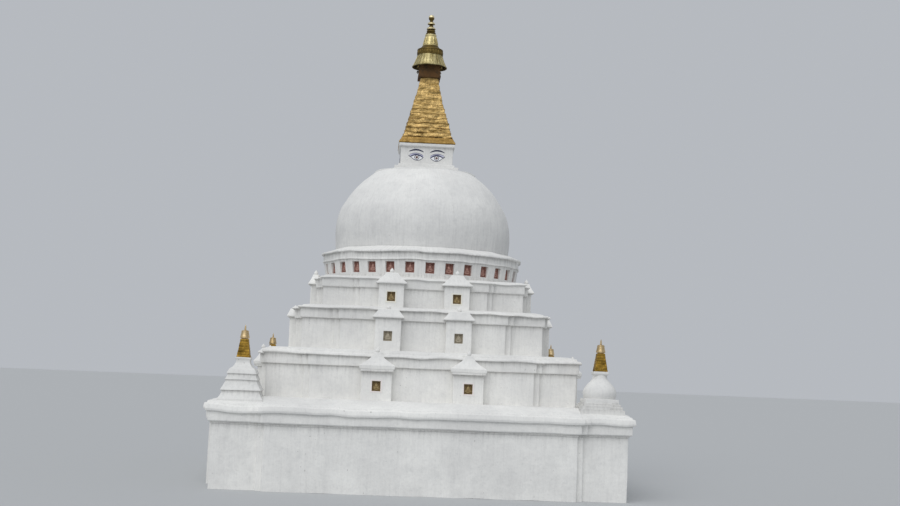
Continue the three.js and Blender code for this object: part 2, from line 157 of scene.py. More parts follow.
def limewash(name, round_axis, dirt_and_shade_below=0.0):
    """Coats of lime, and over them layers of dirt and of painted shade, one after the other."""
    material, tree, shader, place = new_material(name, roughness=0.93)
    flow, open_wall = place, WALL_STREAKS
    if round_axis:
        open_wall = ROUND_STREAKS
        flat = add_node(tree, VECTOR_MATH, {0: place, 1: (1, 1, 0)}, operation="MULTIPLY")
        out = add_node(tree, VECTOR_MATH, {0: flat}, operation="NORMALIZE")
        rise = add_node(tree, VECTOR_MATH, {0: place, 1: (0, 0, 1)}, operation="MULTIPLY")
        flow = add_node(tree, VECTOR_MATH, {0: out, 1: (DOME_RADIUS, DOME_RADIUS, 0), 2: rise},
                        operation="MULTIPLY_ADD")
    ledge_dirt_and_shade, soot = (add_node(tree, "ShaderNodeAttribute", out="Fac", attribute_name=label)
                   for label in ("ledge_dirt_and_shade", "soot"))
    # Right under each ledge the wall darkens as painted shade, besides the dirt of the streaks.
    shade = add_node(tree, MATH, {0: ledge_dirt_and_shade, 1: 2.0}, operation="POWER")
    reach = add_node(tree, MATH, {0: ledge_dirt_and_shade, 1: LEDGE_STREAKS, 2: open_wall}, operation="MULTIPLY_ADD")
    coats = clouds(tree, place, 0.45, 0.35, 0.7)
    blotches = clouds(tree, place, 1.9, 0.52, 0.75, detail=7.0)
    layers = [(coats, 1.0, "#E2E1DE"), (blotches, 0.3, "#CDCDCC")]
    # Darker towards the foot of the dome: dirt washed down from the cap, and painted shade.
    if dirt_and_shade_below:
        height = add_node(tree, "ShaderNodeSeparateXYZ", {0: place}, 2)
        low_dirt_and_shade = add_node(tree, "ShaderNodeMapRange", {0: height, 1: PLAIN_ABOVE, 2: GREY_BELOW})
        layers.append((low_dirt_and_shade, dirt_and_shade_below, "#8E9094"))
        fresh = add_node(tree, "ShaderNodeMapRange", {0: low_dirt_and_shade, 3: 0.35})
        reach = add_node(tree, MATH, {0: reach, 1: fresh}, operation="MULTIPLY")
    streaks = clouds(tree, flow, STREAKS_PER_METRE, 0.46, 0.74, stretch=(1, 1, STREAK_LENGTH))
    fine = clouds(tree, flow, 3.2 * STREAKS_PER_METRE, 0.46, 0.8, stretch=(1, 1, 1.6 * STREAK_LENGTH))
    pits = clouds(tree, place, 7.0, 0.5, 0.72, detail=8.0)
    specks = clouds(tree, place, 5.0, 0.735, 0.765, detail=2.0)
    # The shade layer is painted shade under the ledges; streaks, soot, pits and specks are dirt.
    layers += [(streaks, reach, "#9A9998"), (fine, open_wall, "#A9AAAD"), (shade, 0.3, "#93908A"),
               (soot, 1.0, "#8F8F90"), (pits, 0.12, "#A3A4A6"), (specks, 0.45, "#8A8883")]
    trowel = clouds(tree, place, 2.4, 0.3, 0.7, detail=3.0)
    brush = clouds(tree, flow, BRUSH_PER_METRE, 0.3, 0.7, stretch=(1, 1, 0.4))
    dress(tree, shader, "#F1F0EC", layers, [(trowel, 0.03, 0.45), (brush, 0.006, 0.5)])
    return material


WALL_LIMEWASH = limewash("limewash_brushed_on_walls", False)
DRUM_LIMEWASH = limewash("limewash_brushed_on_the_drum", True)
DOME_LIMEWASH = limewash("limewash_brushed_on_the_dome", True, dirt_and_shade_below=0.24)
print("limewash finishes:", WALL_LIMEWASH.name, DRUM_LIMEWASH.name, DOME_LIMEWASH.name)

# %% [markdown]
# ## Gilded and bare metal
# The spire is clad in copper sheet, fire-gilt and beaten by hand over timber. It is a
# real metal, so it is fully metallic, satin and dented, deep yellow where the gold is
# thick and brown where it has worn to the copper or soot sits in a dent. The parasol's
# sheet is a paler brass, and the bell and caps over it are rubbed brighter by the wind.
# Crown and small bells are dark bronze, and the same bronze is laid as painted shade on
# the faces of parasol, caps and ball that turn down or in. The neck is copper sheet under
# a rust brown paint. The finials of the chortens are an older, dark gilt with caps of
# bright brass.

# %% Metals
def beaten_sheet(name, bright, dull, dirt, roughness, dent_depth, clean=0.66, lie=None):
    """Hammered sheet. The lower clean is, the more dirty spots. lie stretches the wear."""
    material, tree, shader, place = new_material(name, roughness, metallic=1.0)
    dents = clouds(tree, place, 5.0, 0.3, 0.7, detail=3.0)
    wear = clouds(tree, place, 1.7, 0.4, 0.68, detail=6.0, stretch=lie)
    spots = clouds(tree, place, 7.5, clean, clean + 0.08, detail=2.0)
    hammer = clouds(tree, place, 14.0, 0.3, 0.7, detail=2.0)
    rough = add_node(tree, "ShaderNodeMapRange", {0: dents, 3: roughness - 0.08, 4: roughness + 0.16})
    tree.links.new(rough, shader.inputs["Roughness"])
    dress(tree, shader, bright, [(wear, 1.0, dull), (spots, 0.7, dirt)],
          [(dents, dent_depth, 0.6), (hammer, dent_depth / 4, 0.6)])
    return material


GILT_SHEET = beaten_sheet("fire_gilt_copper_sheet", "#D0B277", "#866C3A", "#4A381A", 0.5, 0.03,
                          clean=0.62, lie=(0.7, 0.7, 2.6))
GILT_BAND = beaten_sheet("thinly_gilt_copper_band", "#AF8F55", "#836839", "#553D1A", 0.5, 0.02)
OLD_GILT = beaten_sheet("dark_gilt_repousse_sheet", "#AC8A3E", "#6C5624", "#33250C", 0.5, 0.03)
CAP_BRASS = beaten_sheet("bright_brass_cap", "#DDC59A", "#B49B6E", "#7A5C30", 0.42, 0.01)
PALE_GILT = beaten_sheet("pale_gilt_brass_sheet", "#C2B688", "#8D7F53", "#574D32", 0.46, 0.02,
                         lie=(2.0, 2.0, 0.5))
BELL_GILT = beaten_sheet("bright_gilt_brass_sheet", "#DFD09C", "#AD9D68", "#675C3B", 0.46, 0.02)
CAP_GILT = beaten_sheet("rubbed_gilt_brass_casting", "#F6E9C2", "#D9CA9C", "#7A7058", 0.44, 0.012)
# Dark bronze; it is also laid as painted shade on gilt faces that turn down or in.
BRONZE_AND_PAINTED_SHADE = beaten_sheet("weathered_cast_bronze_and_painted_shade", "#7D6A3C", "#5A4A28", "#2B2416", 0.5, 0.012)


def painted_sheet(name, fresh, worn, roughness):
    """Oil paint on sheet metal: even colour, matt, chalked in patches."""
    material, tree, shader, place = new_material(name, roughness)
    chalk = clouds(tree, place, 2.6, 0.42, 0.7, detail=6.0)
    dents = clouds(tree, place, 3.0, 0.3, 0.7)
    dress(tree, shader, fresh, [(chalk, 1.0, worn)], [(dents, 0.02, 0.5)])
    return material


NECK_PAINT = painted_sheet("rust_brown_paint_on_copper", "#593A10", "#39270B", 0.8)
print("metal finishes:", GILT_SHEET.name, PALE_GILT.name, BRONZE_AND_PAINTED_SHADE.name, NECK_PAINT.name)

# %% [markdown]
# ## Painted slate and lime paints
# Each niche holds a carved slate, painted once and then rained on for years: the paint
# holds in the hollows and wears pale on the raised carving. The attribute raised, from
# 0 at the ground of the slate to 1 at its highest carving, tells the two apart. Eyes
# and niche frames are pigment stirred into lime water, dead matt and thin in places.

# %% Slates and lime paints
def painted_slate(name, ground, carving):
    """Paint that holds in the ground of a carving and wears off its heights."""
    material, tree, shader, place = new_material(name, roughness=0.8)
    raised = add_node(tree, "ShaderNodeAttribute", out="Fac", attribute_name="raised")
    patches = clouds(tree, place, 11.0, 0.35, 0.65, detail=5.0)
    wear = add_node(tree, MATH, {0: patches, 1: 0.45}, operation="MAXIMUM")
    grain = clouds(tree, place, 30.0, 0.3, 0.7)
    dress(tree, shader, ground, [(raised, wear, carving)], [(grain, 0.004, 0.6)])
    return material


RED_SLATE = painted_slate("red_painted_carved_slate", "#7C5348", "#CFA598")
GOLD_SLATE = painted_slate("ochre_painted_carved_slate", "#6A5636", "#BCA676")
GREY_SLATE = painted_slate("pale_painted_carved_slate", "#8C8371", "#C3B8A3")


def lime_paint(name, colour, faded):
    """Pigment in lime water: dead matt, brushed thin in places."""
    material, tree, shader, place = new_material(name, roughness=0.95)
    thin = clouds(tree, place, 6.0, 0.45, 0.8, detail=5.0)
    dress(tree, shader, colour, [(thin, 1.0, faded)])
    return material


EYE_NAVY = lime_paint("navy_pigment_in_lime", "#242743", "#4A4D68")
EYE_LILAC = lime_paint("lilac_pigment_in_lime", "#B4B4CC", "#CFCFDB")
EYE_WHITE = lime_paint("fresh_white_lime", "#EFF0F2", "#E0E1E4")
EYE_BROWN = lime_paint("red_ochre_in_lime", "#7C5A48", "#9A8270")
FRAME_PINK = lime_paint("pale_red_ochre_in_lime", "#EDE5E2", "#E9E5E2")
FRAME_CREAM = lime_paint("pale_yellow_ochre_in_lime", "#EBE8DC", "#E8E6DF")
print("paints:", RED_SLATE.name, GOLD_SLATE.name, GREY_SLATE.name, EYE_NAVY.name, FRAME_PINK.name)

# %% [markdown]
# ## Building by hand
# A mason works to a line, but the wall swells and sinks by a couple of centimetres, and
# a lip pressed up by hand waves along its length. All masonry points are therefore moved
# by one slow noise in space, so pieces that meet stay together. Outlines get small round
# corners, because thirty coats of lime leave no sharp edge.

# %% The mason's hand
SWELL = 0.024        # metres that a wall wanders over about two metres
RIPPLE = 0.006       # and over half a metre


def hand_laid(point):
    """Where a point of a true wall lies once it is built by hand."""
    spot = Vector(point)
    slow = noise.noise_vector(spot / 1.9) * SWELL
    quick = noise.noise_vector(spot / 0.45 + Vector((31, 7, 19))) * RIPPLE
    moved = spot + slow + quick
    moved.z = max(moved.z, 0.0)
    return moved


wall_corner = Vector((11.5, -11.5, 3.7))
print("the mason misses a wall corner by", round((hand_laid(wall_corner) - wall_corner).length, 3), "m")

# %% Outlines and profiles
def rounded(before, corner, after, radius):
    """Four points of the small arc that takes the place of a corner."""
    back, ahead = before - corner, after - corner
    cut = min(radius, back.length * 0.4, ahead.length * 0.4)
    start = corner + back.normalized() * cut
    end = corner + ahead.normalized() * cut
    return [start.lerp(corner, t).lerp(corner.lerp(end, t), t) for t in (0, 1 / 3, 2 / 3, 1)]


def soft_outline(corners, counts, radius):
    """A closed outline with round corners and with each side cut into so many parts."""
    total = len(corners)
    arcs = [rounded(corners[i - 1], corners[i], corners[(i + 1) % total], radius)
            for i in range(total)]
    points = []
    for i, arc in enumerate(arcs):
        reach = arcs[(i + 1) % total][0]
        points += arc
        points += [arc[-1].lerp(reach, k / counts[i]) for k in range(1, counts[i])]
    return points


def soft_profile(points, radius=0.03, step=0.25):
    """A profile of (out, height, wave) with round corners and no long bare stretch."""
    line = [Vector((*point, 0.0)[:3]) for point in points]
    soft = [line[0]]
    for before, corner, after in zip(line, line[1:], line[2:]):
        soft += rounded(before, corner, after, radius)
    soft.append(line[-1])
    dense = [soft[0]]
    for start, end in zip(soft, soft[1:]):
        parts = max(1, round((end - start).length / step))
        dense += [start.lerp(end, k / parts) for k in range(1, parts + 1)]
    return dense


print("a step of one metre takes", len(soft_profile([(1, 0), (1, 1), (0, 1)])), "points")

# %% Skins over an outline or round the axis
def skin_over(rings):
    """Points and faces of a skin over rings of points, bottom to top, closed by flat ends."""
    count = len(rings[0])
    points = [point for ring in rings for point in ring]
    faces = [tuple(reversed(range(count)))]
    for low in range(0, (len(rings) - 1) * count, count):
        for i in range(count):
            j = (i + 1) % count
            faces.append((low + i, low + j, low + count + j, low + count + i))
    faces.append(tuple(range(len(points) - count, len(points))))
    return points, faces


def moulding(corners_at, profile, spacing=0.2, radius=0.04, hand=hand_laid):
    """An outline carried up a profile. corners_at gives the outline's corners for an outset."""
    middle = corners_at(profile[len(profile) // 2].x)
    sides = zip(middle, middle[1:] + middle[:1])
    counts = [max(1, round((b - a).length / spacing)) for a, b in sides]
    rings = []
    for out, height, wave in profile:
        ring = []
        for spot in soft_outline(corners_at(out), counts, radius):
            lift = wave * noise.noise(Vector((spot.x / 1.3, spot.y / 1.3, height / 3)))
            ring.append(hand(Vector((spot.x, spot.y, height + lift))))
        rings.append(ring)
    return skin_over(rings)


def turned(profile, segments, hand=hand_laid):
    """A profile of (radius, height, wave) turned about the axis. A radius of 0 is a pole."""
    points, faces, rings = [], [], []
    for radius, height, wave in profile:
        steps = segments if radius > 1e-6 else 1
        rings.append(range(len(points), len(points) + steps))
        for i in range(steps):
            angle = 2 * math.pi * i / segments
            x, y = radius * math.cos(angle), radius * math.sin(angle)
            lift = wave * noise.noise(Vector((x / 1.1, y / 1.1, height / 3)))
            points.append(hand(Vector((x, y, height + lift))))
    for low, high in zip(rings, rings[1:]):
        for i in range(segments):
            j = (i + 1) % segments
            corners = [low[i % len(low)], low[j % len(low)], high[j % len(high)], high[i % len(high)]]
            faces.append(tuple(dict.fromkeys(corners)))
    if len(rings[0]) > 1:
        faces.append(tuple(reversed(rings[0])))
    if len(rings[-1]) > 1:
        faces.append(tuple(rings[-1]))
    return points, faces


# %% Square shapes, and shapes moved and joined
SQUARE = ((-1, -1), (1, -1), (1, 1), (-1, 1))


def square_corners(half):
    return [Vector((x * half, y * half)) for x, y in SQUARE]


def squared(profile, rounding, step, spacing, radius=0.03, hand=Vector):
    """A profile of (half-width, height, wave) carried round a square."""
    return moulding(square_corners, soft_profile(profile, rounding, step), spacing, radius, hand)


def standing_on(level, profile):
    """A profile of (out, height above the level) with its real heights."""
    return [(out, level + above) for out, above in profile]


def moved_by(shape, x, y):
    points, faces = shape
    return [point + Vector((x, y, 0)) for point in points], faces


def quarter_turn(turn):
    return Matrix.Rotation(turn * math.pi / 2, 3, "Z")


def together(parts):
    """Several skins as one list of points and one of faces."""
    points, faces = [], []
    for some_points, some_faces in parts:
        start = len(points)
        points += some_points
        faces += [tuple(start + corner for corner in face) for face in some_faces]
    return points, faces


print("a plain square post takes", len(squared([(0.5, 0.0), (0.5, 1.0)], 0.02, 0.5, 0.5)[1]), "faces")

# %% [markdown]
# ## From points to pieces
# Each piece is one mesh at the origin with its place in its points. Smooth shading with
# a limit on the angle keeps the arrises of ledges crisp and the long swells soft. A
# masonry piece gets its ledge dirt and painted shade here: the heights of the ledges
# above it are given, and both fade below each. Its film of soot is one number for the
# whole piece.

# %% Meshes and objects
CREASE = math.radians(40)    # an edge that turns by more than this stays crisp


def rise_of(node):
    """The lowest and the highest level of a solid."""
    low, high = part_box(node)
    return low[2], high[2]


def placed(name, mesh):
    """The object of a mesh, at the origin, with its shading."""
    mesh.name = name
    mesh.shade_smooth()
    mesh.set_sharp_from_angle(angle=CREASE)
    piece = bpy.data.objects.new(name, mesh)
    bpy.context.scene.collection.objects.link(piece)
    return piece


def new_piece(name, shape, materials):
    points, faces = shape
    mesh = bpy.data.meshes.new(name)
    mesh.from_pydata([tuple(point) for point in points], [], faces)
    for material in materials:
        mesh.materials.append(material)
    return placed(name, mesh)


def finished_mesh(piece):
    """The mesh of a piece with its modifiers worked in."""
    seen = piece.evaluated_get(bpy.context.evaluated_depsgraph_get())
    return bpy.data.meshes.new_from_object(seen)


print("levels of the dome:", [round(level, 2) for level in rise_of("dome")])

# %% Arrises, hand and dirt
LEDGE_FADE = 0.2              # metres down which the dirt and painted shade under a ledge fade to a third


def soften_arrises(piece, width):
    """Rounds the sharp edges of a piece."""
    bevel = piece.modifiers.new("soft arrises", "BEVEL")
    bevel.width = width
    bevel.segments = 2
    bevel.limit_method = "ANGLE"
    bevel.angle_limit = math.radians(50)
    mesh = finished_mesh(piece)
    piece.modifiers.clear()
    piece.data = mesh


def lay_by_hand(piece):
    """Moves a true piece to where the mason's hand leaves it."""
    for vertex in piece.data.vertices:
        vertex.co = hand_laid(vertex.co)


def mark_points(mesh, label, values):
    """An attribute for the shaders: one number for each point."""
    mesh.attributes.new(label, "FLOAT", "POINT").data.foreach_set("value", values)


def mark_ledge_dirt_and_shade(mesh, ledges, film):
    """Marks how much of a ledge's dirt and painted shade each point catches, and the film of soot on all."""
    values = []
    for vertex in mesh.vertices:
        drops = [ledge - vertex.co.z for ledge in ledges if vertex.co.z <= ledge + 0.02]
        values.append(max([math.exp(-drop / LEDGE_FADE) for drop in drops], default=0.0))
    mark_points(mesh, "ledge_dirt_and_shade", values)
    mark_points(mesh, "soot", [film] * len(values))


# %% Masonry and metal pieces on the body
def fit(piece, slot, *nodes):
    """Puts a piece on the one body and hides the solids it stands for. slot, the name of its finish, is not
    used.
    """
    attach(piece, "root")
    if nodes:
        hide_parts(*nodes)
    print(piece.name, len(piece.data.polygons), "faces")


def plaster(name, shape, *nodes, finish=WALL_LIMEWASH, ledges=(), film=0.0, arris=0.0):
    """A masonry piece. With an arris, its edges are rounded and it is then laid by hand."""
    piece = new_piece(name, shape, [finish])
    if arris:
        soften_arrises(piece, arris)
        lay_by_hand(piece)
    mark_ledge_dirt_and_shade(piece.data, ledges, film)
    fit(piece, "whitewash", *nodes)


def metalwork(name, shape, slot, finishes, *nodes, dark=None):
    """A metal piece. Faces that dark picks out take the second finish, a dark bronze laid on them as painted
    shade.
    """
    piece = new_piece(name, shape, finishes)
    for face in piece.data.polygons if dark else ():
        face.material_index = int(dark(face))
    fit(piece, slot, *nodes)


# %% [markdown]
# ## Terraces
# Four storeys, each a square whose sides step forward twice, so that light breaks the
# long walls into bays. Every storey has the same members: wall, string course, upright
# band, a thick lip that waves, and a sloped top that sheds rain towards the lip. The
# whole storey is one moulding: its plan is carried up one profile, and the last ring
# lies hidden under the storey above.

# %% Terrace sizes
STRIP_OUT = 0.21
BAY_OUT = 0.45
LIP_WAVE = 0.085     # height of the hand-pressed lip's waves
# Half-lengths of the side and of its two steps, then heights, then how far each member
# stands out from the wall. Dirt and painted shade gather under the ledges, and film is the soot.
Terrace = namedtuple("Terrace", "half strip bay string lip_low ledge"
                                " band_out lip_out ledge_out crest_out hidden ledges film")
TERRACES = {
    1: Terrace(half=11.5, strip=8.95, bay=8.6, string=3.7, lip_low=4.2, ledge=4.68,
               band_out=0.2, lip_out=0.3, ledge_out=0.15, crest_out=-1.1, hidden=-2.8,
               ledges=(3.6,), film=0.0),
    2: Terrace(half=8.9, strip=6.75, bay=6.4, string=6.94, lip_low=7.5, ledge=7.8,
               band_out=0.12, lip_out=0.2, ledge_out=0.0, crest_out=-0.45, hidden=-2.0,
               ledges=(6.9, 7.5), film=0.03),
    3: Terrace(half=7.1, strip=5.2, bay=4.85, string=9.68, lip_low=10.22, ledge=10.41,
               band_out=0.12, lip_out=0.23, ledge_out=0.0, crest_out=-0.4, hidden=-1.3,
               ledges=(9.64, 10.22), film=0.08),
    4: Terrace(half=6.0, strip=4.1, bay=3.8, string=11.62, lip_low=12.11, ledge=12.28,
               band_out=0.08, lip_out=0.15, ledge_out=-0.05, crest_out=-0.25, hidden=-1.9,
               ledges=(11.58,), film=0.13),
}


def stepped_corners(level, out):
    """Corners of the stepped plan, moved out evenly."""
    half, strip, bay = (size + out for size in (level.half, level.strip, level.bay))
    quarter = [
        (half + BAY_OUT, -bay), (half + BAY_OUT, bay), (half + STRIP_OUT, bay), (half + STRIP_OUT, strip),
        (half, strip), (half, half), (strip, half), (strip, half + STRIP_OUT), (bay, half + STRIP_OUT),
    ]
    corners = []
    for turn in range(4):
        about = Matrix.Rotation(turn * math.pi / 2, 2)
        corners += [about @ Vector(corner) for corner in quarter]
    return corners


def terrace_profile(number, level):
    """Wall, string, band, lip, ledge and slope of a storey, from the foot up."""
    foot = rise_of(f"terrace_{number}_wall")[0]
    lip_top = rise_of(f"terrace_{number}_cornice")[1]
    crest = rise_of(f"terrace_{number}_top")[1]
    string = 0.15 if number == 1 else 0.07
    fillet = 0.4 * string
    sunk = foot - 0.12 if number > 1 else foot
    return soft_profile([
        (0, sunk), (0, level.string - string),
        (fillet, level.string - string), (fillet, level.string - 0.6 * string),
        (0.5 * fillet, level.string - 0.5 * string), (level.band_out, level.string),
        (level.band_out, level.lip_low + 0.02, 0.3 * LIP_WAVE),
        (level.lip_out + 0.03, level.lip_low, LIP_WAVE),
        (level.lip_out + 0.06, level.lip_low + 0.35 * (lip_top - level.lip_low), LIP_WAVE),
        (level.lip_out + 0.01, lip_top, LIP_WAVE), (level.ledge_out + 0.02, lip_top + 0.02, LIP_WAVE),
        (level.ledge_out, level.ledge, 0.5 * LIP_WAVE), (level.crest_out, crest), (level.hidden, crest),
    ])


print("corners of the stepped plan:", len(stepped_corners(TERRACES[1], 0.0)))

# %% Terraces
for number, level in TERRACES.items():
    shape = moulding(lambda out: stepped_corners(level, out), terrace_profile(number, level))
    nodes = [f"terrace_{number}_{member}" for member in ("wall", "cornice", "top")]
    plaster(f"terrace_{number}_plaster", shape, *nodes, ledges=level.ledges, film=level.film)

# %% [markdown]
# ## Niche walls
# A wall with niches is a grid of cells. Cells inside a niche are set back, and where
# such a cell meets a plain one, a reveal joins the two depths. The grid can lie on a
# flat front or run right round the drum. This is steadier than cutting boxes out of a
# finished wall, and it leaves even cells that can swell and ripple with the masonry.

# %% Grids with niches
def niche_grid(columns, rows, is_niche, place, around=False):
    """A face of cells with some set back. place turns (column, row, depth) into a point.

    Depth 0 is the face, 1 the back of a niche and 2 the hidden back of the block.
    """
    index, points, faces = {}, [], []
    cells_across = len(columns) if around else len(columns) - 1

    def corner(i, j, depth):
        key = (i % len(columns) if around else i, j, depth)
        if key not in index:
            index[key] = len(points)
            points.append(place(columns[key[0]], rows[j], depth))
        return index[key]

    def face(*corners):
        faces.append(tuple(corner(*one) for one in corners))

    def set_back(i, j):
        if around:
            i %= cells_across
        inside = 0 <= i < cells_across and 0 <= j < len(rows) - 1
        return inside and is_niche(i, j)

    for i in range(cells_across):
        for j in range(len(rows) - 1):
            d = 1 if set_back(i, j) else 0
            face((i, j, d), (i + 1, j, d), (i + 1, j + 1, d), (i, j + 1, d))
            if not around:
                face((i, j, 2), (i, j + 1, 2), (i + 1, j + 1, 2), (i + 1, j, 2))
            if d == 0:
                continue
            if not set_back(i - 1, j):
                face((i, j, 0), (i, j, 1), (i, j + 1, 1), (i, j + 1, 0))
            if not set_back(i + 1, j):
                face((i + 1, j, 1), (i + 1, j, 0), (i + 1, j + 1, 0), (i + 1, j + 1, 1))
            if not set_back(i, j - 1):
                face((i, j, 0), (i + 1, j, 0), (i + 1, j, 1), (i, j, 1))
            if not set_back(i, j + 1):
                face((i, j + 1, 1), (i + 1, j + 1, 1), (i + 1, j + 1, 0), (i, j + 1, 0))
    top = len(rows) - 1
    if around:
        faces.append(tuple(corner(i, 0, 0) for i in reversed(range(cells_across))))
        faces.append(tuple(corner(i, top, 0) for i in range(cells_across)))
    else:
        for j in range(top):
            face((0, j, 2), (0, j, 0), (0, j + 1, 0), (0, j + 1, 2))
            face((cells_across, j, 0), (cells_across, j, 2),
                 (cells_across, j + 1, 2), (cells_across, j + 1, 0))
        for i in range(cells_across):
            face((i, 0, 2), (i + 1, 0, 2), (i + 1, 0, 0), (i, 0, 0))
            face((i, top, 0), (i + 1, top, 0), (i + 1, top, 2), (i, top, 2))
    return points, faces


def even_steps(start, end, parts):
    return [start + (end - start) * k / parts for k in range(parts)]


def grid_lines(stops, parts):
    """Lines at the stops, with so many even cells between each two."""
    lines = []
    for start, end, cells in zip(stops, stops[1:], parts):
        lines += even_steps(start, end, cells)
    return lines + [stops[-1]]


print("lines of a small grid:", grid_lines((0.0, 1.0, 3.0), (2, 2)))

# %% [markdown]
# ## Shrines on the terraces
# Two small shrines stand against each bay of the three upper storeys: a plain block
# with a square niche, an eave of two layers, a hipped roof that curves in as it rises,
# and a knob. Each is worked once at the front and then turned to its side of the
# terrace, and the hand of the mason is added last, so that no two are alike.

# %% Shrine sizes
NICHE_DEPTH = 0.18
# Widths are across the front, front and back are distances from the axis, and what ends
# in low or top, the foot, the eave and the middle of the niche are heights.
Shrine = namedtuple("Shrine", "offset width front back foot eave under_width under_top cornice_top"
                              " roof_width roof_front roof_top_width roof_top hollow knob knob_top"
                              " niche_wide niche_tall niche_middle")
SHRINES = {
    2: Shrine(offset=2.6, width=1.74, front=9.85, back=9.2, foot=4.95, eave=6.68,
              under_width=1.88, under_top=6.82, cornice_top=7.02,
              roof_width=2.06, roof_front=10.1, roof_top_width=0.4, roof_top=7.75, hollow=1.6,
              knob=0.11, knob_top=8.06, niche_wide=0.51, niche_tall=0.59, niche_middle=5.87),
    3: Shrine(offset=2.06, width=1.5, front=8.1, back=7.35, foot=7.8, eave=9.78,
              under_width=1.6, under_top=9.8, cornice_top=9.86,
              roof_width=1.85, roof_front=8.27, roof_top_width=1.15, roof_top=10.3, hollow=1.1,
              knob=0.115, knob_top=10.57, niche_wide=0.5, niche_tall=0.57, niche_middle=8.75),
    4: Shrine(offset=1.95, width=1.5, front=6.9, back=6.25, foot=10.4, eave=11.85,
              under_width=1.6, under_top=11.87, cornice_top=11.93,
              roof_width=1.85, roof_front=7.07, roof_top_width=0.74, roof_top=12.51, hollow=1.3,
              knob=0.12, knob_top=12.82, niche_wide=0.5, niche_tall=0.57, niche_middle=11.1),
}
print("shrines are", [size.width for size in SHRINES.values()], "m wide")

# %% Block, roof and knob of a shrine
def shrine_block(size, middle):
    """The block of a front shrine, with its niche."""
    half, half_niche = size.width / 2, size.niche_wide / 2
    across = (middle - half, middle - half_niche, middle + half_niche, middle + half)
    sill, head = (size.niche_middle + side * size.niche_tall / 2 for side in (-1, 1))
    depths = (-size.front, -size.front + NICHE_DEPTH, -size.back)
    return niche_grid(
        grid_lines(across, (3, 3, 3)), grid_lines((size.foot, sill, head, size.eave + 0.03), (4, 3, 4)),
        lambda i, j: 3 <= i < 6 and 4 <= j < 7, lambda x, z, depth: Vector((x, depths[depth], z)),
    )


def shrine_roof(size, middle):
    """Eave and hipped roof of a front shrine."""
    depth_share = (size.roof_front - size.back) / size.roof_width
    centre = -(size.roof_front + size.back) / 2

    def corners_at(half):
        return [Vector((middle + x * half, centre + y * half * depth_share)) for x, y in SQUARE]

    low, top = size.roof_width / 2, size.roof_top_width / 2
    rise = size.roof_top - size.cornice_top
    slope = [(top + (low - top) * (1 - t) ** size.hollow, size.cornice_top + rise * t)
             for t in (0, 0.2, 0.4, 0.6, 0.8, 1)]
    return moulding(corners_at, soft_profile([
        (size.width / 2 - 0.05, size.eave), (size.under_width / 2, size.eave),
        (size.under_width / 2, size.under_top), (low - 0.03, size.under_top),
        *slope, (top - 0.05, size.roof_top + 0.02), (0.08, size.roof_top + 0.03),
    ], 0.02), 0.15, 0.03, hand=Vector)


def shrine_knob(size, middle):
    """The knob on the roof of a front shrine."""
    foot, radius = size.roof_top - 0.03, size.knob
    knob = turned(soft_profile([
        (0.8 * radius, foot), (0.8 * radius, foot + 0.06), (1.15 * radius, foot + 0.12),
        (radius, foot + 0.2), (0.35 * radius, size.knob_top - 0.04), (0, size.knob_top),
    ], 0.02), 20, hand=Vector)
    return moved_by(knob, middle, -(size.roof_front + size.back) / 2)


print("a shrine block takes", len(shrine_block(SHRINES[2], 0.0)[1]), "faces")

# %% Shrines
SHRINE_NAMES = {(0, -1): "front_left", (0, 1): "front_right", (1, -1): "right_front", (1, 1): "right_back",
                (2, -1): "back_right", (2, 1): "back_left", (3, -1): "left_back", (3, 1): "left_front"}
for storey, size in SHRINES.items():
    for (turn, side), name in SHRINE_NAMES.items():
        points, faces = together([build(size, side * size.offset)
                                  for build in (shrine_block, shrine_roof, shrine_knob)])
        turned_points = [quarter_turn(turn) @ point for point in points]
        plaster(f"terrace_{storey}_{name}_shrine", (turned_points, faces),
                *([f"{name}_shrine"] if storey == 2 else []), ledges=(size.eave,), arris=0.018)

# %% [markdown]
# ## Drum
# The drum carries the dome. Its wall leans out a little and has thirty-two square
# niches. A band and a thin waving lip close it, and an apron of plaster slopes up to
# the dome. The wall is a niche grid that runs right round, and the rest is turned.

# %% Drum wall
NICHES = 32
NICHE_WIDE = 0.56
NICHE_LOW, NICHE_HIGH = 12.62, 13.28
NICHE_BACK = 5.99
NICHE_TURN = math.pi / 64            # a quarter of a pitch: no niche faces straight ahead
DRUM_LOW, DRUM_TOP = rise_of("drum_wall")
WALL_LOW_RADIUS, WALL_TOP_RADIUS = 6.12, 6.26


def drum_point(angle, height, depth):
    lean = (height - DRUM_LOW) / (DRUM_TOP - DRUM_LOW)
    radius = WALL_LOW_RADIUS + (WALL_TOP_RADIUS - WALL_LOW_RADIUS) * lean
    if depth == 1:
        radius = NICHE_BACK
    return Vector((radius * math.sin(angle), -radius * math.cos(angle), height))


pitch = 2 * math.pi / NICHES
half_niche = NICHE_WIDE / 2 / WALL_TOP_RADIUS
columns = []
for n in range(NICHES):
    start = NICHE_TURN + n * pitch - half_niche
    columns += grid_lines((start, start + 2 * half_niche, start + pitch), (3, 4))[:-1]
rows = grid_lines((DRUM_LOW - 0.05, NICHE_LOW, NICHE_HIGH, DRUM_TOP, DRUM_TOP + 0.06), (2, 3, 2, 1))
drum_wall = niche_grid(columns, rows, lambda i, j: i % 7 < 3 and 2 <= j < 5, drum_point, around=True)
plaster("drum_wall_plaster", drum_wall, "drum_wall", finish=DRUM_LIMEWASH,
        ledges=(DRUM_TOP,), film=0.08, arris=0.016)

# %% Foot, lip and apron of the drum
DRUM_SEGMENTS = 256
LIP_LOW = 13.86


def round_plaster(node, profile, rounding, segments=DRUM_SEGMENTS, finish=DRUM_LIMEWASH, **dirt):
    """A turned masonry piece in the place of a solid."""
    shape = turned(soft_profile(profile, rounding), segments)
    plaster(f"{node}_plaster", shape, node, finish=finish, **dirt)


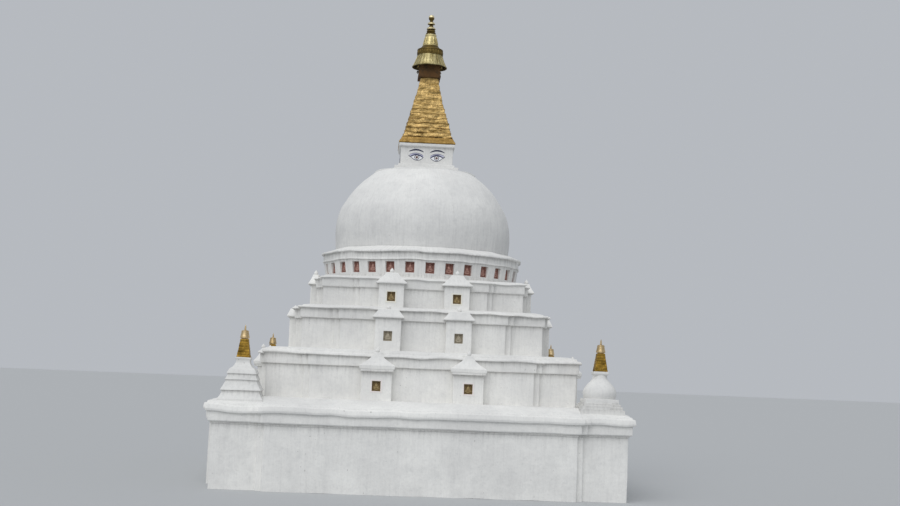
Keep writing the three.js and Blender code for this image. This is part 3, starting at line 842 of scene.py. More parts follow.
foot_low, foot_top = rise_of("drum_foot")
round_plaster("drum_foot", [
    (6.1, foot_low - 0.1), (6.19, foot_low - 0.1), (6.19, foot_top), (6.05, foot_top + 0.01),
], rounding=0.03, ledges=(foot_top,))

lip_top = rise_of("drum_cornice")[1]
round_plaster("drum_cornice", [
    (6.1, DRUM_TOP + 0.01, 0.03), (6.325, DRUM_TOP - 0.01, 0.07), (6.33, DRUM_TOP + 0.05, 0.06),
    (6.295, DRUM_TOP + 0.07, 0.03), (6.3, LIP_LOW + 0.02, 0.02), (6.42, LIP_LOW, 0.09),
    (6.45, LIP_LOW + 0.05, 0.1), (6.42, lip_top, 0.09), (6.3, lip_top + 0.03, 0.05), (6.0, lip_top + 0.04),
], rounding=0.015, ledges=(LIP_LOW,), film=0.04)

apron_top = rise_of("drum_apron")[1]
round_plaster("drum_apron", [
    (6.2, lip_top - 0.03), (6.34, lip_top + 0.015, 0.06), (5.66, apron_top, 0.05), (5.45, apron_top + 0.05),
], rounding=0.05)

# %% [markdown]
# ## Dome
# The dome is a bell more than a half ball: upright at the foot, widest at a sixth of
# its height and drawn in to a shallow cap. Its outline is a smooth curve through a few
# radii, turned about the axis. The mason had no centring, so it swells a little more
# than the walls do.

# %% Dome and cap
DOME_LOW, DOME_TOP = rise_of("dome")
DOME_RADII = [(5.57, 0), (5.63, 1.04), (5.58, 1.84), (5.4, 2.59), (5.06, 3.24),
              (4.63, 3.89), (4.06, 4.53), (3.23, 5.2)]     # radius, height above the foot
DOME_SWELL = 0.035


def smooth_curve(points, parts):
    """A curve through the points, cut into so many parts between each two."""
    line = [Vector(point) for point in points]
    line = [2 * line[0] - line[1], *line, 2 * line[-1] - line[-2]]
    curve = []
    for a, b, c, d in zip(line, line[1:], line[2:], line[3:]):
        for k in range(parts):
            t = k / parts
            curve.append(0.5 * (2 * b + (c - a) * t + (2 * a - 5 * b + 4 * c - d) * t ** 2
                                + (3 * b - a - 3 * c + d) * t ** 3))
    return [*curve, line[-2]]


def hand_swept(point):
    """A dome point once the dome is laid without centring."""
    slow = noise.noise_vector(point / 2.6 + Vector((5, 11, 3))) * DOME_SWELL
    return hand_laid(point + slow)


dome_line = [(radius, DOME_LOW + height, 0.0) for radius, height in smooth_curve(DOME_RADII, 9)]
dome_line = [(5.5, DOME_LOW - 0.1, 0.0), *dome_line, (2.9, DOME_TOP + 0.01, 0.0)]
plaster("dome_plaster", turned(dome_line, 288, hand=hand_swept), "dome", finish=DOME_LIMEWASH)

cap_low, cap_top = rise_of("dome_cap")
round_plaster("dome_cap", [
    (3.1, cap_low - 0.1), (3.3, cap_low - 0.06, 0.06), (3.29, cap_low + 0.03, 0.06),
    (2.9, cap_top - 0.02, 0.03), (1.9, cap_top + 0.03),
], rounding=0.02, segments=192, finish=DOME_LIMEWASH)

# %% [markdown]
# ## Harmika
# The square block over the dome stands on two low steps and closes with a small
# cornice under the gilded plate.

# %% Harmika
HARMIKA_HALF = 1.675
plinth_low, plinth_top = rise_of("harmika_plinth")
block_top, head_top = (rise_of(node)[1] for node in ("harmika", "harmika_cornice"))
harmika = squared([
    (2.04, plinth_low - 0.03), (2.04, plinth_low + 0.18, 0.02), (1.8, plinth_low + 0.19, 0.02),
    (1.8, plinth_top, 0.02), (HARMIKA_HALF, plinth_top + 0.01), (HARMIKA_HALF, block_top),
    (1.715, block_top + 0.01, 0.02), (1.715, block_top + 0.05, 0.02), (1.79, block_top + 0.07, 0.02),
    (1.79, head_top - 0.03, 0.02), (1.72, head_top),
], rounding=0.02, step=0.12, spacing=0.1, hand=hand_laid)
plaster("harmika_plaster", harmika, "harmika_plinth", "harmika", "harmika_cornice",
        ledges=(block_top,), film=0.15)

# %% [markdown]
# ## Painted eyes
# Calm half-closed eyes look out on all four sides, a common ornament of such blocks.
# They are drawn here from the sign painter's rules: a block four eye widths wide, half
# an eye's width between the two, a heavy upper lid and a brow that mirrors it. The
# strokes are broad, since they are read from a courtyard far below. Each is a thin
# layer of lime paint with real edges, which follows the swell of the wall.

# %% Strokes of paint
EYE_MIDDLE = 20.36                     # height of the pupils
EYE_WIDTH = 2 * HARMIKA_HALF / 4
EYE_SIDE = 0.75 * EYE_WIDTH            # from the middle of the face to the pupil
PAINT_STEPS = 20


def thickened(points, faces, back):
    """A sheet of faces given a back and a rim, so that it is a closed layer."""
    edges = {(a, b) for face in faces for a, b in zip(face, face[1:] + face[:1])}
    shift = len(points)
    closed = list(faces) + [tuple(corner + shift for corner in reversed(face)) for face in faces]
    closed += [(b, a, a + shift, b + shift) for a, b in edges if (b, a) not in edges]
    return points + [point + back for point in points], closed


def arc_through(start, middle, end):
    """A bow through three points of the wall."""
    pull = 2 * middle - (start + end) / 2
    shares = [k / PAINT_STEPS for k in range(PAINT_STEPS + 1)]
    return [start.lerp(pull, t).lerp(pull.lerp(end, t), t) for t in shares]


def stroke(line, width, start_share=0.25, end_share=0.1):
    """A brush stroke along a line, full in the middle and thin at its ends."""
    left, right = [], []
    for i, spot in enumerate(line):
        ahead = line[min(i + 1, len(line) - 1)] - line[max(i - 1, 0)]
        across = Vector((-ahead.y, ahead.x)).normalized()
        t = i / (len(line) - 1)
        ends = start_share * (1 - t) + end_share * t
        half = width / 2 * (ends + (1 - ends) * math.sin(math.pi * t) ** 0.6)
        left.append(spot + across * half)
        right.append(spot - across * half)
    return between(right, left)


def between(low, high):
    """The field between a lower and an upper line of equally many points."""
    count = len(low)
    faces = [(i, i + 1, count + i + 1, count + i) for i in range(count - 1)]
    return low + high, faces


def disc(centre, radius, parts=28):
    """A round spot."""
    turns = [2 * math.pi * k / parts for k in range(parts)]
    return [centre + Vector((math.cos(a), math.sin(a))) * radius for a in turns], [tuple(range(parts))]


print("an eye is", round(EYE_WIDTH, 3), "m wide and drawn with bows of", PAINT_STEPS, "parts")

# %% One eye
EYE_PAINTS = [EYE_NAVY, EYE_LILAC, EYE_WHITE, EYE_BROWN]
NAVY, LILAC, WHITE, BROWN = range(len(EYE_PAINTS))


def eye(side):
    """The strokes of one eye as (height above the wall, paint, field of paint)."""
    w = EYE_WIDTH
    pupil = Vector((side * EYE_SIDE, 0))

    def at(u, v):
        return pupil + Vector((side * u * w, v * w))

    inner, outer = at(-0.48, -0.03), at(0.48, 0.03)
    upper = arc_through(inner, at(0.0, 0.19), outer)
    lower = arc_through(inner, at(0.0, -0.25), outer)
    fold = arc_through(at(-0.48, 0.13), at(0.02, 0.31), at(0.58, 0.19))
    brow = arc_through(at(-0.5, 0.4), at(0.04, 0.57), at(0.62, 0.42))
    flick = arc_through(outer, at(0.56, 0.06), at(0.64, 0.14))
    iris = at(0.0, -0.01)
    return [
        (0.002, WHITE, between(lower, upper)),
        (0.002, LILAC, between([p + Vector((0, 0.02)) for p in upper], fold)),
        (0.004, NAVY, stroke(fold, 0.03)),
        (0.006, NAVY, stroke(brow, 0.1, 0.25, 0.15)),
        (0.004, NAVY, disc(iris, 0.19 * w)),
        (0.006, WHITE, disc(iris, 0.145 * w)),
        (0.008, BROWN, disc(iris, 0.095 * w)),
        (0.01, NAVY, disc(iris, 0.042 * w)),
        (0.009, NAVY, stroke(upper, 0.075, 0.5, 0.5)),
        (0.008, NAVY, stroke(lower, 0.034, 0.6, 0.6)),
        (0.009, NAVY, stroke(flick, 0.05, 0.9, 0.2)),
    ]


def mirrored(points, faces):
    """Whether the first face of a flat drawing runs the wrong way round."""
    a, b, c = (points[i] for i in faces[0][:3])
    return (b - a).cross(c - b) < 0


print("strokes of one eye:", len(eye(1)))

# %% Eyes on four sides
strokes, paints = [], []
for turn in range(4):
    for side in (-1, 1):
        for height, paint, (flat, faces) in eye(side):
            if mirrored(flat, faces):
                faces = [tuple(reversed(face)) for face in faces]
            front = [Vector((p.x, -HARMIKA_HALF - height, EYE_MIDDLE + p.y)) for p in flat]
            points, faces = thickened(front, faces, Vector((0, 0.02 + height, 0)))
            strokes.append(([hand_laid(quarter_turn(turn) @ point) for point in points], faces))
            paints += [paint] * len(faces)
eyes = new_piece("harmika_painted_eyes", together(strokes), EYE_PAINTS)
eyes.data.polygons.foreach_set("material_index", paints)
fit(eyes, "eye_paint")

# %% [markdown]
# ## Growing repeated pieces
# Petals, ribs, bells and slates repeat round the axis, so one Geometry Nodes tree sets
# out any of them: it puts the piece at a radius and a height, copies it round in equal
# turns, each with a small error of its own, and makes the copies real. The spire's
# tiers follow a rule instead, so they get a tree of their own: tier k is narrower than
# the one below by a power law, and the whole is then dented by noise.

# %% Geometry Nodes helpers
def new_tree(name, inputs):
    """An empty tree with named inputs. Returns the tree and a link for each input."""
    tree = bpy.data.node_groups.new(name, "GeometryNodeTree")
    for label, kind in {"Geometry": "Geometry", **inputs}.items():
        tree.interface.new_socket(label, in_out="INPUT", socket_type="NodeSocket" + kind)
    tree.interface.new_socket("Geometry", in_out="OUTPUT", socket_type="NodeSocketGeometry")
    given = add_node(tree, "NodeGroupInput").node
    return tree, {socket.name: socket for socket in given.outputs if socket.name}


def posts_to_copy_on(tree, count):
    """So many points in one place, and how far each is along their row, from 0 to 1."""
    posts = add_node(tree, "GeometryNodeMeshLine", {"Count": count, "Offset": (0.0, 0.0, 0.0)})
    number = add_node(tree, "GeometryNodeInputIndex")
    return posts, add_node(tree, MATH, {0: number, 1: count}, operation="DIVIDE")


def end_tree(tree, geometry, finish):
    """Makes copies real, names their material and ends the tree."""
    real = add_node(tree, "GeometryNodeRealizeInstances", {"Geometry": geometry})
    dressed = add_node(tree, "GeometryNodeSetMaterial", {"Geometry": real, "Material": finish})
    add_node(tree, "NodeGroupOutput", {"Geometry": dressed})


def grown(name, shape, tree, values, marks=None):
    """The plain piece that a tree makes from a start shape."""
    start = new_piece(name + "_start", shape, [])
    if marks:
        mark_points(start.data, "raised", marks)
    growth = start.modifiers.new("growth", "NODES")
    growth.node_group = tree
    for item in tree.interface.items_tree:
        if item.in_out == "INPUT" and item.name in values:
            growth[item.identifier] = values[item.name]
    mesh = finished_mesh(start)
    bpy.data.objects.remove(start)
    return placed(name, mesh)

# %% The ring tree
RING, given = new_tree("set_out_in_a_ring", {
    "Count": "Int", "Radius": "Float", "Height": "Float", "Start": "Float",
    "Unevenness": "Float", "Seed": "Int", "Finish": "Material"})
posts, share = posts_to_copy_on(RING, given["Count"])
forward = add_node(RING, MATH, {0: given["Radius"], 1: -1.0}, operation="MULTIPLY")
place = add_node(RING, "ShaderNodeCombineXYZ", {1: forward, 2: given["Height"]})
moved = add_node(RING, "GeometryNodeTransform", {"Geometry": given["Geometry"], "Translation": place})
even = add_node(RING, MATH, {0: share, 1: 2 * math.pi, 2: given["Start"]}, operation="MULTIPLY_ADD")
least = add_node(RING, MATH, {0: given["Unevenness"], 1: -1.0}, operation="MULTIPLY")
error = add_node(RING, "FunctionNodeRandomValue",
                 {2: least, 3: given["Unevenness"], "Seed": given["Seed"]}, 1, data_type="FLOAT")
angle = add_node(RING, MATH, {0: even, 1: error}, operation="ADD")
turn = add_node(RING, "ShaderNodeCombineXYZ", {2: angle})
copies = add_node(RING, "GeometryNodeInstanceOnPoints",
                  {"Points": posts, "Instance": moved, "Rotation": turn})
end_tree(RING, copies, given["Finish"])
print("tree:", RING.name, len(RING.nodes), "nodes")

# %% The tier tree
FOLDS = (                            # how the sheet has crumpled: stretch, waves to the metre, share
    ((1.0, 1.0, 1.0), 1.3, 1.0),     # slow swells
    ((0.45, 0.45, 1.6), 3.2, 1.1),   # level wrinkles
    ((1.0, 1.0, 1.0), 9.0, 0.3),     # small dents
)
FOOT_DENTS, TOP_DENTS = 1.2, 0.5     # the lower half has crumpled most
TIERS, given = new_tree("tiers_that_shrink_by_a_rule", {
    "Tiers": "Int", "Foot half-width": "Float", "Top half-width": "Float", "Hollow": "Float",
    "Foot": "Vector", "Height": "Float", "Dents": "Float", "Seed": "Float", "Finish": "Material"})
foot_half, top_half = given["Foot half-width"], given["Top half-width"]
posts, share = posts_to_copy_on(TIERS, given["Tiers"])
above = add_node(TIERS, MATH, {0: 1.0, 1: share}, operation="SUBTRACT")
left = add_node(TIERS, MATH, {0: above, 1: given["Hollow"]}, operation="POWER")
spread = add_node(TIERS, MATH, {0: foot_half, 1: top_half}, operation="SUBTRACT")
half = add_node(TIERS, MATH, {0: spread, 1: left, 2: top_half}, operation="MULTIPLY_ADD")
risen = add_node(TIERS, MATH, {0: share, 1: given["Height"]}, operation="MULTIPLY")
rise = add_node(TIERS, "ShaderNodeCombineXYZ", {2: risen})
foot = add_node(TIERS, VECTOR_MATH, {0: rise, 1: given["Foot"]}, operation="ADD")
raised = add_node(TIERS, "GeometryNodeSetPosition", {"Geometry": posts, "Position": foot})
tall = add_node(TIERS, MATH, {0: given["Height"], 1: given["Tiers"]}, operation="DIVIDE")
size = add_node(TIERS, "ShaderNodeCombineXYZ", {0: half, 1: half, 2: tall})
copies = add_node(TIERS, "GeometryNodeInstanceOnPoints",
                  {"Points": raised, "Instance": given["Geometry"], "Scale": size})
real = add_node(TIERS, "GeometryNodeRealizeInstances", {"Geometry": copies})
spot = add_node(TIERS, "GeometryNodeInputPosition")
above_foot = add_node(TIERS, VECTOR_MATH, {0: spot, 1: given["Foot"]}, operation="SUBTRACT")
level = add_node(TIERS, "ShaderNodeSeparateXYZ", {0: above_foot}, 2)
wear = add_node(TIERS, "ShaderNodeMapRange",
                {0: level, 2: given["Height"], 3: FOOT_DENTS, 4: TOP_DENTS})
strain = add_node(TIERS, MATH, {0: given["Dents"], 1: wear}, operation="MULTIPLY")
shift = (0.0, 0.0, 0.0)
for stretch, waves, strength in FOLDS:
    where = add_node(TIERS, VECTOR_MATH, {0: spot, 1: stretch}, operation="MULTIPLY")
    grain = add_node(TIERS, "ShaderNodeTexNoise", {"Vector": where, "W": given["Seed"], "Scale": waves},
                     "Color", noise_dimensions="4D")
    centred = add_node(TIERS, VECTOR_MATH, {0: grain, 1: (0.5, 0.5, 0.5)}, operation="SUBTRACT")
    depth = add_node(TIERS, MATH, {0: strain, 1: strength}, operation="MULTIPLY")
    fold = add_node(TIERS, VECTOR_MATH, {0: centred, "Scale": depth}, operation="SCALE")
    shift = add_node(TIERS, VECTOR_MATH, {0: shift, 1: fold}, operation="ADD")
dented = add_node(TIERS, "GeometryNodeSetPosition", {"Geometry": real, "Offset": shift})
end_tree(TIERS, dented, given["Finish"])
print("tree:", TIERS.name, len(TIERS.nodes), "nodes")

# %% [markdown]
# ## Gilded spire
# Thirteen tiers of sheet, each lapped over the one below it, stand on a gilded plate.
# One tier is modelled one metre half-wide and one metre tall, with a turned lower edge,
# and the tier tree sizes and stacks it. The sheet has crumpled most in its lower half.

# %% Spire and plate
TIER_PROFILE = [(0.9, -0.09), (0.985, -0.09), (1.008, -0.05), (1.014, 0.02), (1.002, 0.09), (0.972, 0.17),
                (0.955, 0.35), (0.94, 0.7), (0.92, 0.95), (0.88, 1.0)]


def dented_sheet(point):
    """A point of beaten sheet: it strays by about a centimetre."""
    spot = Vector(point)
    return spot + noise.noise_vector(spot / 0.5) * 0.016 + noise.noise_vector(spot / 0.16) * 0.005


spire_low, spire_top = rise_of("spire")
spire = grown("spire_gilt_tiers", squared(TIER_PROFILE, rounding=0.02, step=0.12, spacing=0.05), TIERS, {
    "Tiers": 13, "Foot half-width": 1.6, "Top half-width": 0.565, "Hollow": 1.2,
    "Foot": (0.0, 0.0, spire_low), "Height": spire_top - spire_low, "Dents": 0.2, "Seed": 3.0,
    "Finish": GILT_SHEET})
fit(spire, "gilding", "spire")

plate_low, plate_top = rise_of("spire_base_plate")
metalwork("spire_gilt_plate", squared([
    (1.72, plate_low), (1.81, plate_low + 0.01), (1.81, plate_low + 0.09), (1.74, plate_low + 0.19),
    (1.68, plate_low + 0.28), (1.62, plate_top - 0.04), (1.5, plate_top),
], rounding=0.02, step=0.08, spacing=0.08, hand=dented_sheet), "gilding", [GILT_BAND], "spire_base_plate")

# %% [markdown]
# ## Neck, parasol and pinnacle
# A square neck of painted copper sheet carries an open parasol of pale brass, whose
# sheets are joined by standing seams. Over it come a bronze crown with a ring of lotus
# petals, a ribbed bell, three round caps and a ball. The round pieces are turned, and
# the ring tree sets out the seams, ribs, petals and small hanging bells.

# %% Neck
neck_low, neck_top = rise_of("spire_neck")
metalwork("neck_painted_sheet", squared([
    (0.62, neck_low - 0.06), (0.73, neck_low - 0.06), (0.74, neck_low + 0.07), (0.705, neck_low + 0.11),
    (0.695, neck_low + 0.2), (0.695, 26.68), (0.5, 26.72), (0.42, neck_top),
], rounding=0.015, step=0.1, spacing=0.08, radius=0.02, hand=dented_sheet),
    "copper", [NECK_PAINT], "spire_neck")

# %% Parasol skirt
SKIRT_WALL = 0.045
SKIRT_SEAMS = 24
SKIRT_TOP_RADIUS, SKIRT_FLARE = 0.82, 0.31
skirt_low, skirt_top = rise_of("parasol_skirt")


def skirt_radius(height):
    """Radius of the parasol's outside: flared at the rim and upright at the top."""
    t = (height - skirt_low) / (skirt_top - skirt_low)
    return SKIRT_TOP_RADIUS + SKIRT_FLARE * (1 - t) ** 1.25


def pleated(point):
    """Sheets of a parasol bulge a little between their seams."""
    bulge = 0.012 * abs(math.sin(math.atan2(point.y, point.x) * SKIRT_SEAMS / 2))
    return dented_sheet(point + Vector((point.x, point.y, 0)).normalized() * bulge)


# Faces inside the skirt and under its rim: they take dark bronze as painted shade.
def inside_or_under(face):
    outward = Vector((face.center.x, face.center.y, 0)).dot(face.normal)
    return outward < 0 or face.normal.z < -0.9


heights = grid_lines((skirt_low, skirt_top), (14,))
outside = [(skirt_radius(height), height, 0.0) for height in heights]
inside = [(radius - SKIRT_WALL, height, 0.0) for radius, height, _ in outside[:-1]]
rim = [(1.09, skirt_low - 0.01, 0.0), (1.135, skirt_low - 0.012, 0.0), (1.145, skirt_low + 0.02, 0.0)]
skirt = [(0.0, skirt_top - 0.09, 0.0), *reversed(inside), *rim, *outside[1:], (0.0, skirt_top, 0.0)]
metalwork("parasol_skirt_sheet", turned(skirt, 240, hand=pleated), "pale_gilding",
          [PALE_GILT, BRONZE_AND_PAINTED_SHADE], "parasol_skirt", dark=inside_or_under)

# %% Seams, laps and small bells
def lengthwise_rib(heights, radius_at, width, depth):
    """A round-backed rib that follows a turned surface at the front, from radius 0 out."""
    arc = [(-0.5, 0.35), (-0.5, -0.2), (-0.3, -0.8), (0.0, -1.0), (0.3, -0.8), (0.5, -0.2), (0.5, 0.35)]
    return skin_over([[Vector((x * width, -radius_at(height) + y * depth, height)) for x, y in arc]
                      for height in heights])


def ring_of(name, shape, count, finish, slot, marks=None, seed=1, **place):
    """So many copies of a piece about the axis, fitted to the body."""
    values = {"Count": count, "Seed": seed, "Finish": finish}
    for label in ("radius", "height", "start", "unevenness"):
        values[label.capitalize()] = place.get(label, 0.0)
    piece = grown(name, shape, RING, values, marks)
    fit(piece, slot)
    return piece


ring_of("parasol_seams", lengthwise_rib(heights[:-1], skirt_radius, width=0.03, depth=0.022),
        SKIRT_SEAMS, PALE_GILT, "pale_gilding", unevenness=0.035, seed=4)
ring_of("parasol_dark_laps", lengthwise_rib(heights[:-1], skirt_radius, width=0.022, depth=0.013),
        13, BRONZE_AND_PAINTED_SHADE, "pale_gilding", start=0.06, unevenness=0.11, seed=12)

BELL_EYE = [(0.012, 0.1), (0.012, 0.19), (0.0, 0.19)]
BELL_WALL = [(0.0, 0.0), (0.075, 0.0), (0.08, 0.015), (0.055, 0.05), (0.045, 0.1), (0.02, 0.125), (0.0, 0.13)]
BELL_TONGUE = [(0.0, -0.09), (0.03, -0.075), (0.04, -0.05), (0.008, -0.03), (0.008, 0.02), (0.0, 0.02)]
small_bell = together([
    turned(soft_profile(BELL_EYE, 0.004), 8, hand=Vector),
    turned(soft_profile(BELL_WALL, 0.01, 0.03), 16, hand=Vector),
    turned([(*spot, 0.0) for spot in BELL_TONGUE], 10, hand=Vector),
])
ring_of("parasol_small_bells", small_bell, 4, BRONZE_AND_PAINTED_SHADE, "bronze",
        radius=1.06, height=skirt_low - 0.18, start=math.pi / 4)

# %% Crown and its petals
def cast(point):
    """Cast and spun work is truer than sheet."""
    return Vector(point) + noise.noise_vector(Vector(point) / 0.3) * 0.004


def spun(profile, segments, rounding, step):
    return turned(soft_profile(profile, rounding, step), segments, hand=cast)


CROWN_PROFILE = standing_on(skirt_top, [
    (0.0, -0.02), (0.7, -0.02), (0.8, 0.0), (0.85, 0.02), (0.855, 0.07), (0.825, 0.09), (0.82, 0.33),
    (0.85, 0.36), (0.835, 0.41), (0.77, 0.44), (0.64, 0.51), (0.55, 0.62), (0.0, 0.65)])
metalwork("parasol_crown_bronze", spun(CROWN_PROFILE, 128, rounding=0.015, step=0.06), "bronze",
          [BRONZE_AND_PAINTED_SHADE], "parasol_crown")


def petal(width, height, depth, parts=6):
    """A pointed petal that stands on its broad end, at the front and bulging out."""
    arc = [(-1.0, 0.3), (-0.75, -0.6), (0.0, -1.0), (0.75, -0.6), (1.0, 0.3)]
    rings = []
    for k in range(parts + 1):
        t = k / parts
        half = width / 2 * math.sqrt(max(1 - t ** 2.2, 0.02))
        bulge = depth * math.sin(math.pi * (0.25 + 0.75 * t)) ** 0.8 if t < 1 else 0.0
        rings.append([Vector((x * half, y * (bulge + 0.004), t * height)) for x, y in arc])
    return skin_over(rings)


ring_of("crown_petals", petal(width=0.2, height=0.25, depth=0.04), 26, BRONZE_AND_PAINTED_SHADE, "bronze",
        radius=0.82, height=skirt_top + 0.09, unevenness=0.004, seed=6)

# %% Bell and its ribs
BELL_LOW, BELL_TALL = 28.0, 0.68
BELL_PROFILE = standing_on(BELL_LOW, [
    (0.0, -0.01), (0.5, 0.0), (0.525, 0.03), (0.52, 0.07), (0.49, 0.11), (0.45, 0.3), (0.41, 0.48),
    (0.365, 0.62), (0.345, BELL_TALL), (0.375, 0.7), (0.38, 0.78), (0.35, 0.81), (0.2, 0.86), (0.0, 0.86)])
metalwork("pinnacle_bell_sheet", spun(BELL_PROFILE, 96, rounding=0.02, step=0.06), "gilding",
          [BELL_GILT], "pinnacle_bell")


def bell_radius(height):
    fall = (BELL_LOW + BELL_TALL - height) / (BELL_TALL - 0.12)
    return 0.35 + (0.49 - 0.35) * fall ** 0.85


bell_heights = even_steps(BELL_LOW + 0.13, BELL_LOW + BELL_TALL, 8)
ring_of("bell_ribs", lengthwise_rib(bell_heights, bell_radius, width=0.08, depth=0.03),
        14, BELL_GILT, "gilding", unevenness=0.01, seed=8)

# %% Caps and ball
def cap(radius, low, tall, stem):
    """Profile of a round cap: flat and undercut below, sloped in above to its stem."""
    return [(stem, low), (radius - 0.02, low), (radius, low + 0.015), (0.95 * radius, low + 0.3 * tall),
            (0.7 * radius, low + 0.7 * tall), (stem, low + tall)]


# Undersides and stems between the caps take dark bronze as painted shade; the lowest band, below 29.11 m, is
# dark bronze all over.
def stem_or_under(face):
    undercut = face.normal.z < -0.7 or face.center.xy.length < 0.17
    return undercut or face.center.z < 29.11


CAPS_PROFILE = [(0.0, 28.79), (0.16, 28.8), (0.16, 28.88), *cap(0.33, 28.885, 0.11, 0.28),
                (0.285, 29.08), (0.16, 29.1), *cap(0.302, 29.165, 0.2, 0.14),
                *cap(0.248, 29.5, 0.19, 0.1), (0.1, 29.86), (0.0, 29.87)]
metalwork("pinnacle_caps", spun(CAPS_PROFILE, 72, rounding=0.012, step=0.05), "gilding",
          [CAP_GILT, BRONZE_AND_PAINTED_SHADE], "pinnacle_rings", dark=stem_or_under)

BALL_PROFILE = [(0.0, 29.75), (0.1, 29.76), (0.15, 29.8), (0.178, 29.87), (0.19, 29.96), (0.184, 30.02),
                (0.162, 30.075), (0.11, 30.115), (0.04, 30.135), (0.0, 30.14)]
# The lower half of the ball takes dark bronze as painted shade.
metalwork("pinnacle_ball", spun(BALL_PROFILE, 48, rounding=0.03, step=0.03), "gilding",
          [CAP_GILT, BRONZE_AND_PAINTED_SHADE], "pinnacle_jewel", dark=lambda face: face.normal.z < -0.05)

# %% [markdown]
# ## Corner chortens
# A small chorten stands on each corner of the lowest terrace. Two have a stepped body
# of flared courses and two a vase on steps, and each ends in a gilded spire of seven
# tiers, a parasol and a spike. The tier tree serves here again at a smaller size.

# %% Profiles of the chortens
CHORTEN_REACH = 10.06
CHORTEN_HALF = 1.25
FINIAL_LOW, FINIAL_TOP = 7.17, 8.2
BASE = (CHORTEN_HALF, rise_of("front_left_chorten")[0] - 0.03)
STEPPED = [
    BASE, (CHORTEN_HALF, 4.89, 0.02), (1.14, 5.04), (1.06, 5.2), (1.045, 5.33), (1.11, 5.35, 0.02),
    (1.115, 5.39, 0.02), (0.96, 5.65), (0.85, 5.9), (0.89, 5.92, 0.02), (0.895, 5.96, 0.02),
    (0.81, 6.13), (0.77, 6.23), (0.815, 6.25, 0.02), (0.82, 6.3, 0.02), (0.79, 6.36), (0.73, 6.49),
    (0.65, 6.57), (0.55, 6.63), (0.46, 6.75), (0.395, 6.86), (0.38, 6.93), (0.385, 7.01),
    (0.435, 7.11, 0.02), (0.435, 7.17), (0.3, 7.18),
]
VASE_STEPS = [
    BASE, (CHORTEN_HALF, 5.05, 0.02), (1.14, 5.06), (1.14, 5.23, 0.02), (1.04, 5.24),
    (1.04, 5.37, 0.02), (0.945, 5.38), (0.945, 5.63, 0.02), (0.7, 5.64),
]
VASE = [(0.84, 5.54), (0.89, 5.64), (0.95, 5.93), (0.895, 6.17), (0.775, 6.36), (0.59, 6.57), (0.45, 6.73),
        (0.41, 6.86), (0.4, 6.95), (0.41, 7.05)]
VASE_PLATE = [(0.36, 6.96), (0.4, 6.99), (0.43, 7.05), (0.43, 7.17), (0.3, 7.18)]
FINIAL_TIER = [(0.88, -0.1), (0.97, -0.06), (0.995, 0.05), (1.0, 0.2), (0.985, 0.5), (0.965, 0.85),
               (0.92, 1.0)]
FINIAL_PROFILE = [(0.0, 8.16), (0.19, 8.17), (0.19, 8.235), (0.255, 8.24), (0.267, 8.26), (0.258, 8.33),
                  (0.232, 8.43), (0.212, 8.55), (0.204, 8.61), (0.213, 8.62), (0.21, 8.645), (0.15, 8.685),
                  (0.05, 8.7), (0.055, 8.75), (0.045, 8.83), (0.035, 8.92), (0.0, 9.02)]
CORNERS = {"front_left": (-1, -1, True), "front_right": (1, -1, False),
           "back_right": (1, 1, True), "back_left": (-1, 1, False)}
print("chortens are", round(FINIAL_PROFILE[-1][1] - BASE[1], 2), "m tall")

# %% Chortens
def chorten_parts(stepped):
    """Masonry of a chorten about the axis, before the mason's hand."""
    if stepped:
        return [squared(STEPPED, rounding=0.02, step=0.14, spacing=0.12)]
    vase = smooth_curve([(radius, height, 0.0) for radius, height in VASE], 4)
    return [squared(VASE_STEPS, rounding=0.02, step=0.14, spacing=0.12), turned(vase, 64, hand=Vector),
            squared(VASE_PLATE, rounding=0.015, step=0.25, spacing=0.1)]


small_tier = squared(FINIAL_TIER, rounding=0.05, step=0.2, spacing=0.12, radius=0.05)
for name, (x, y, stepped) in CORNERS.items():
    here = (x * CHORTEN_REACH, y * CHORTEN_REACH)
    points, faces = moved_by(together(chorten_parts(stepped)), *here)
    plaster(f"{name}_chorten_plaster", ([hand_laid(point) for point in points], faces), f"{name}_chorten",
            ledges=(5.35, 5.92, 6.25) if stepped else (5.06, 5.24, 5.38), film=0.1)
    tiers = grown(f"{name}_finial_tiers", small_tier, TIERS, {
        "Tiers": 7, "Foot half-width": 0.37, "Top half-width": 0.215, "Hollow": 1.05,
        "Foot": (*here, FINIAL_LOW), "Height": FINIAL_TOP - FINIAL_LOW, "Dents": 0.05,
        "Seed": 5.0 + x + 2 * y, "Finish": OLD_GILT})
    fit(tiers, "gilding", f"{name}_chorten_finial")
    finial = moved_by(spun(FINIAL_PROFILE, 40, rounding=0.012, step=0.05), *here)
    metalwork(f"{name}_finial_top", finial, "gilding", [CAP_BRASS])

# %% [markdown]
# ## Carved slates
# Each niche holds a slate with a common temple motif: a jewel with a halo on a lotus,
# between four scrolls, inside a plain border. It is built once from a slab, flattened
# balls for the petals and rings for halo and scrolls, and the ring tree sets out
# thirty-two of them in the drum and eight on each storey of shrines.

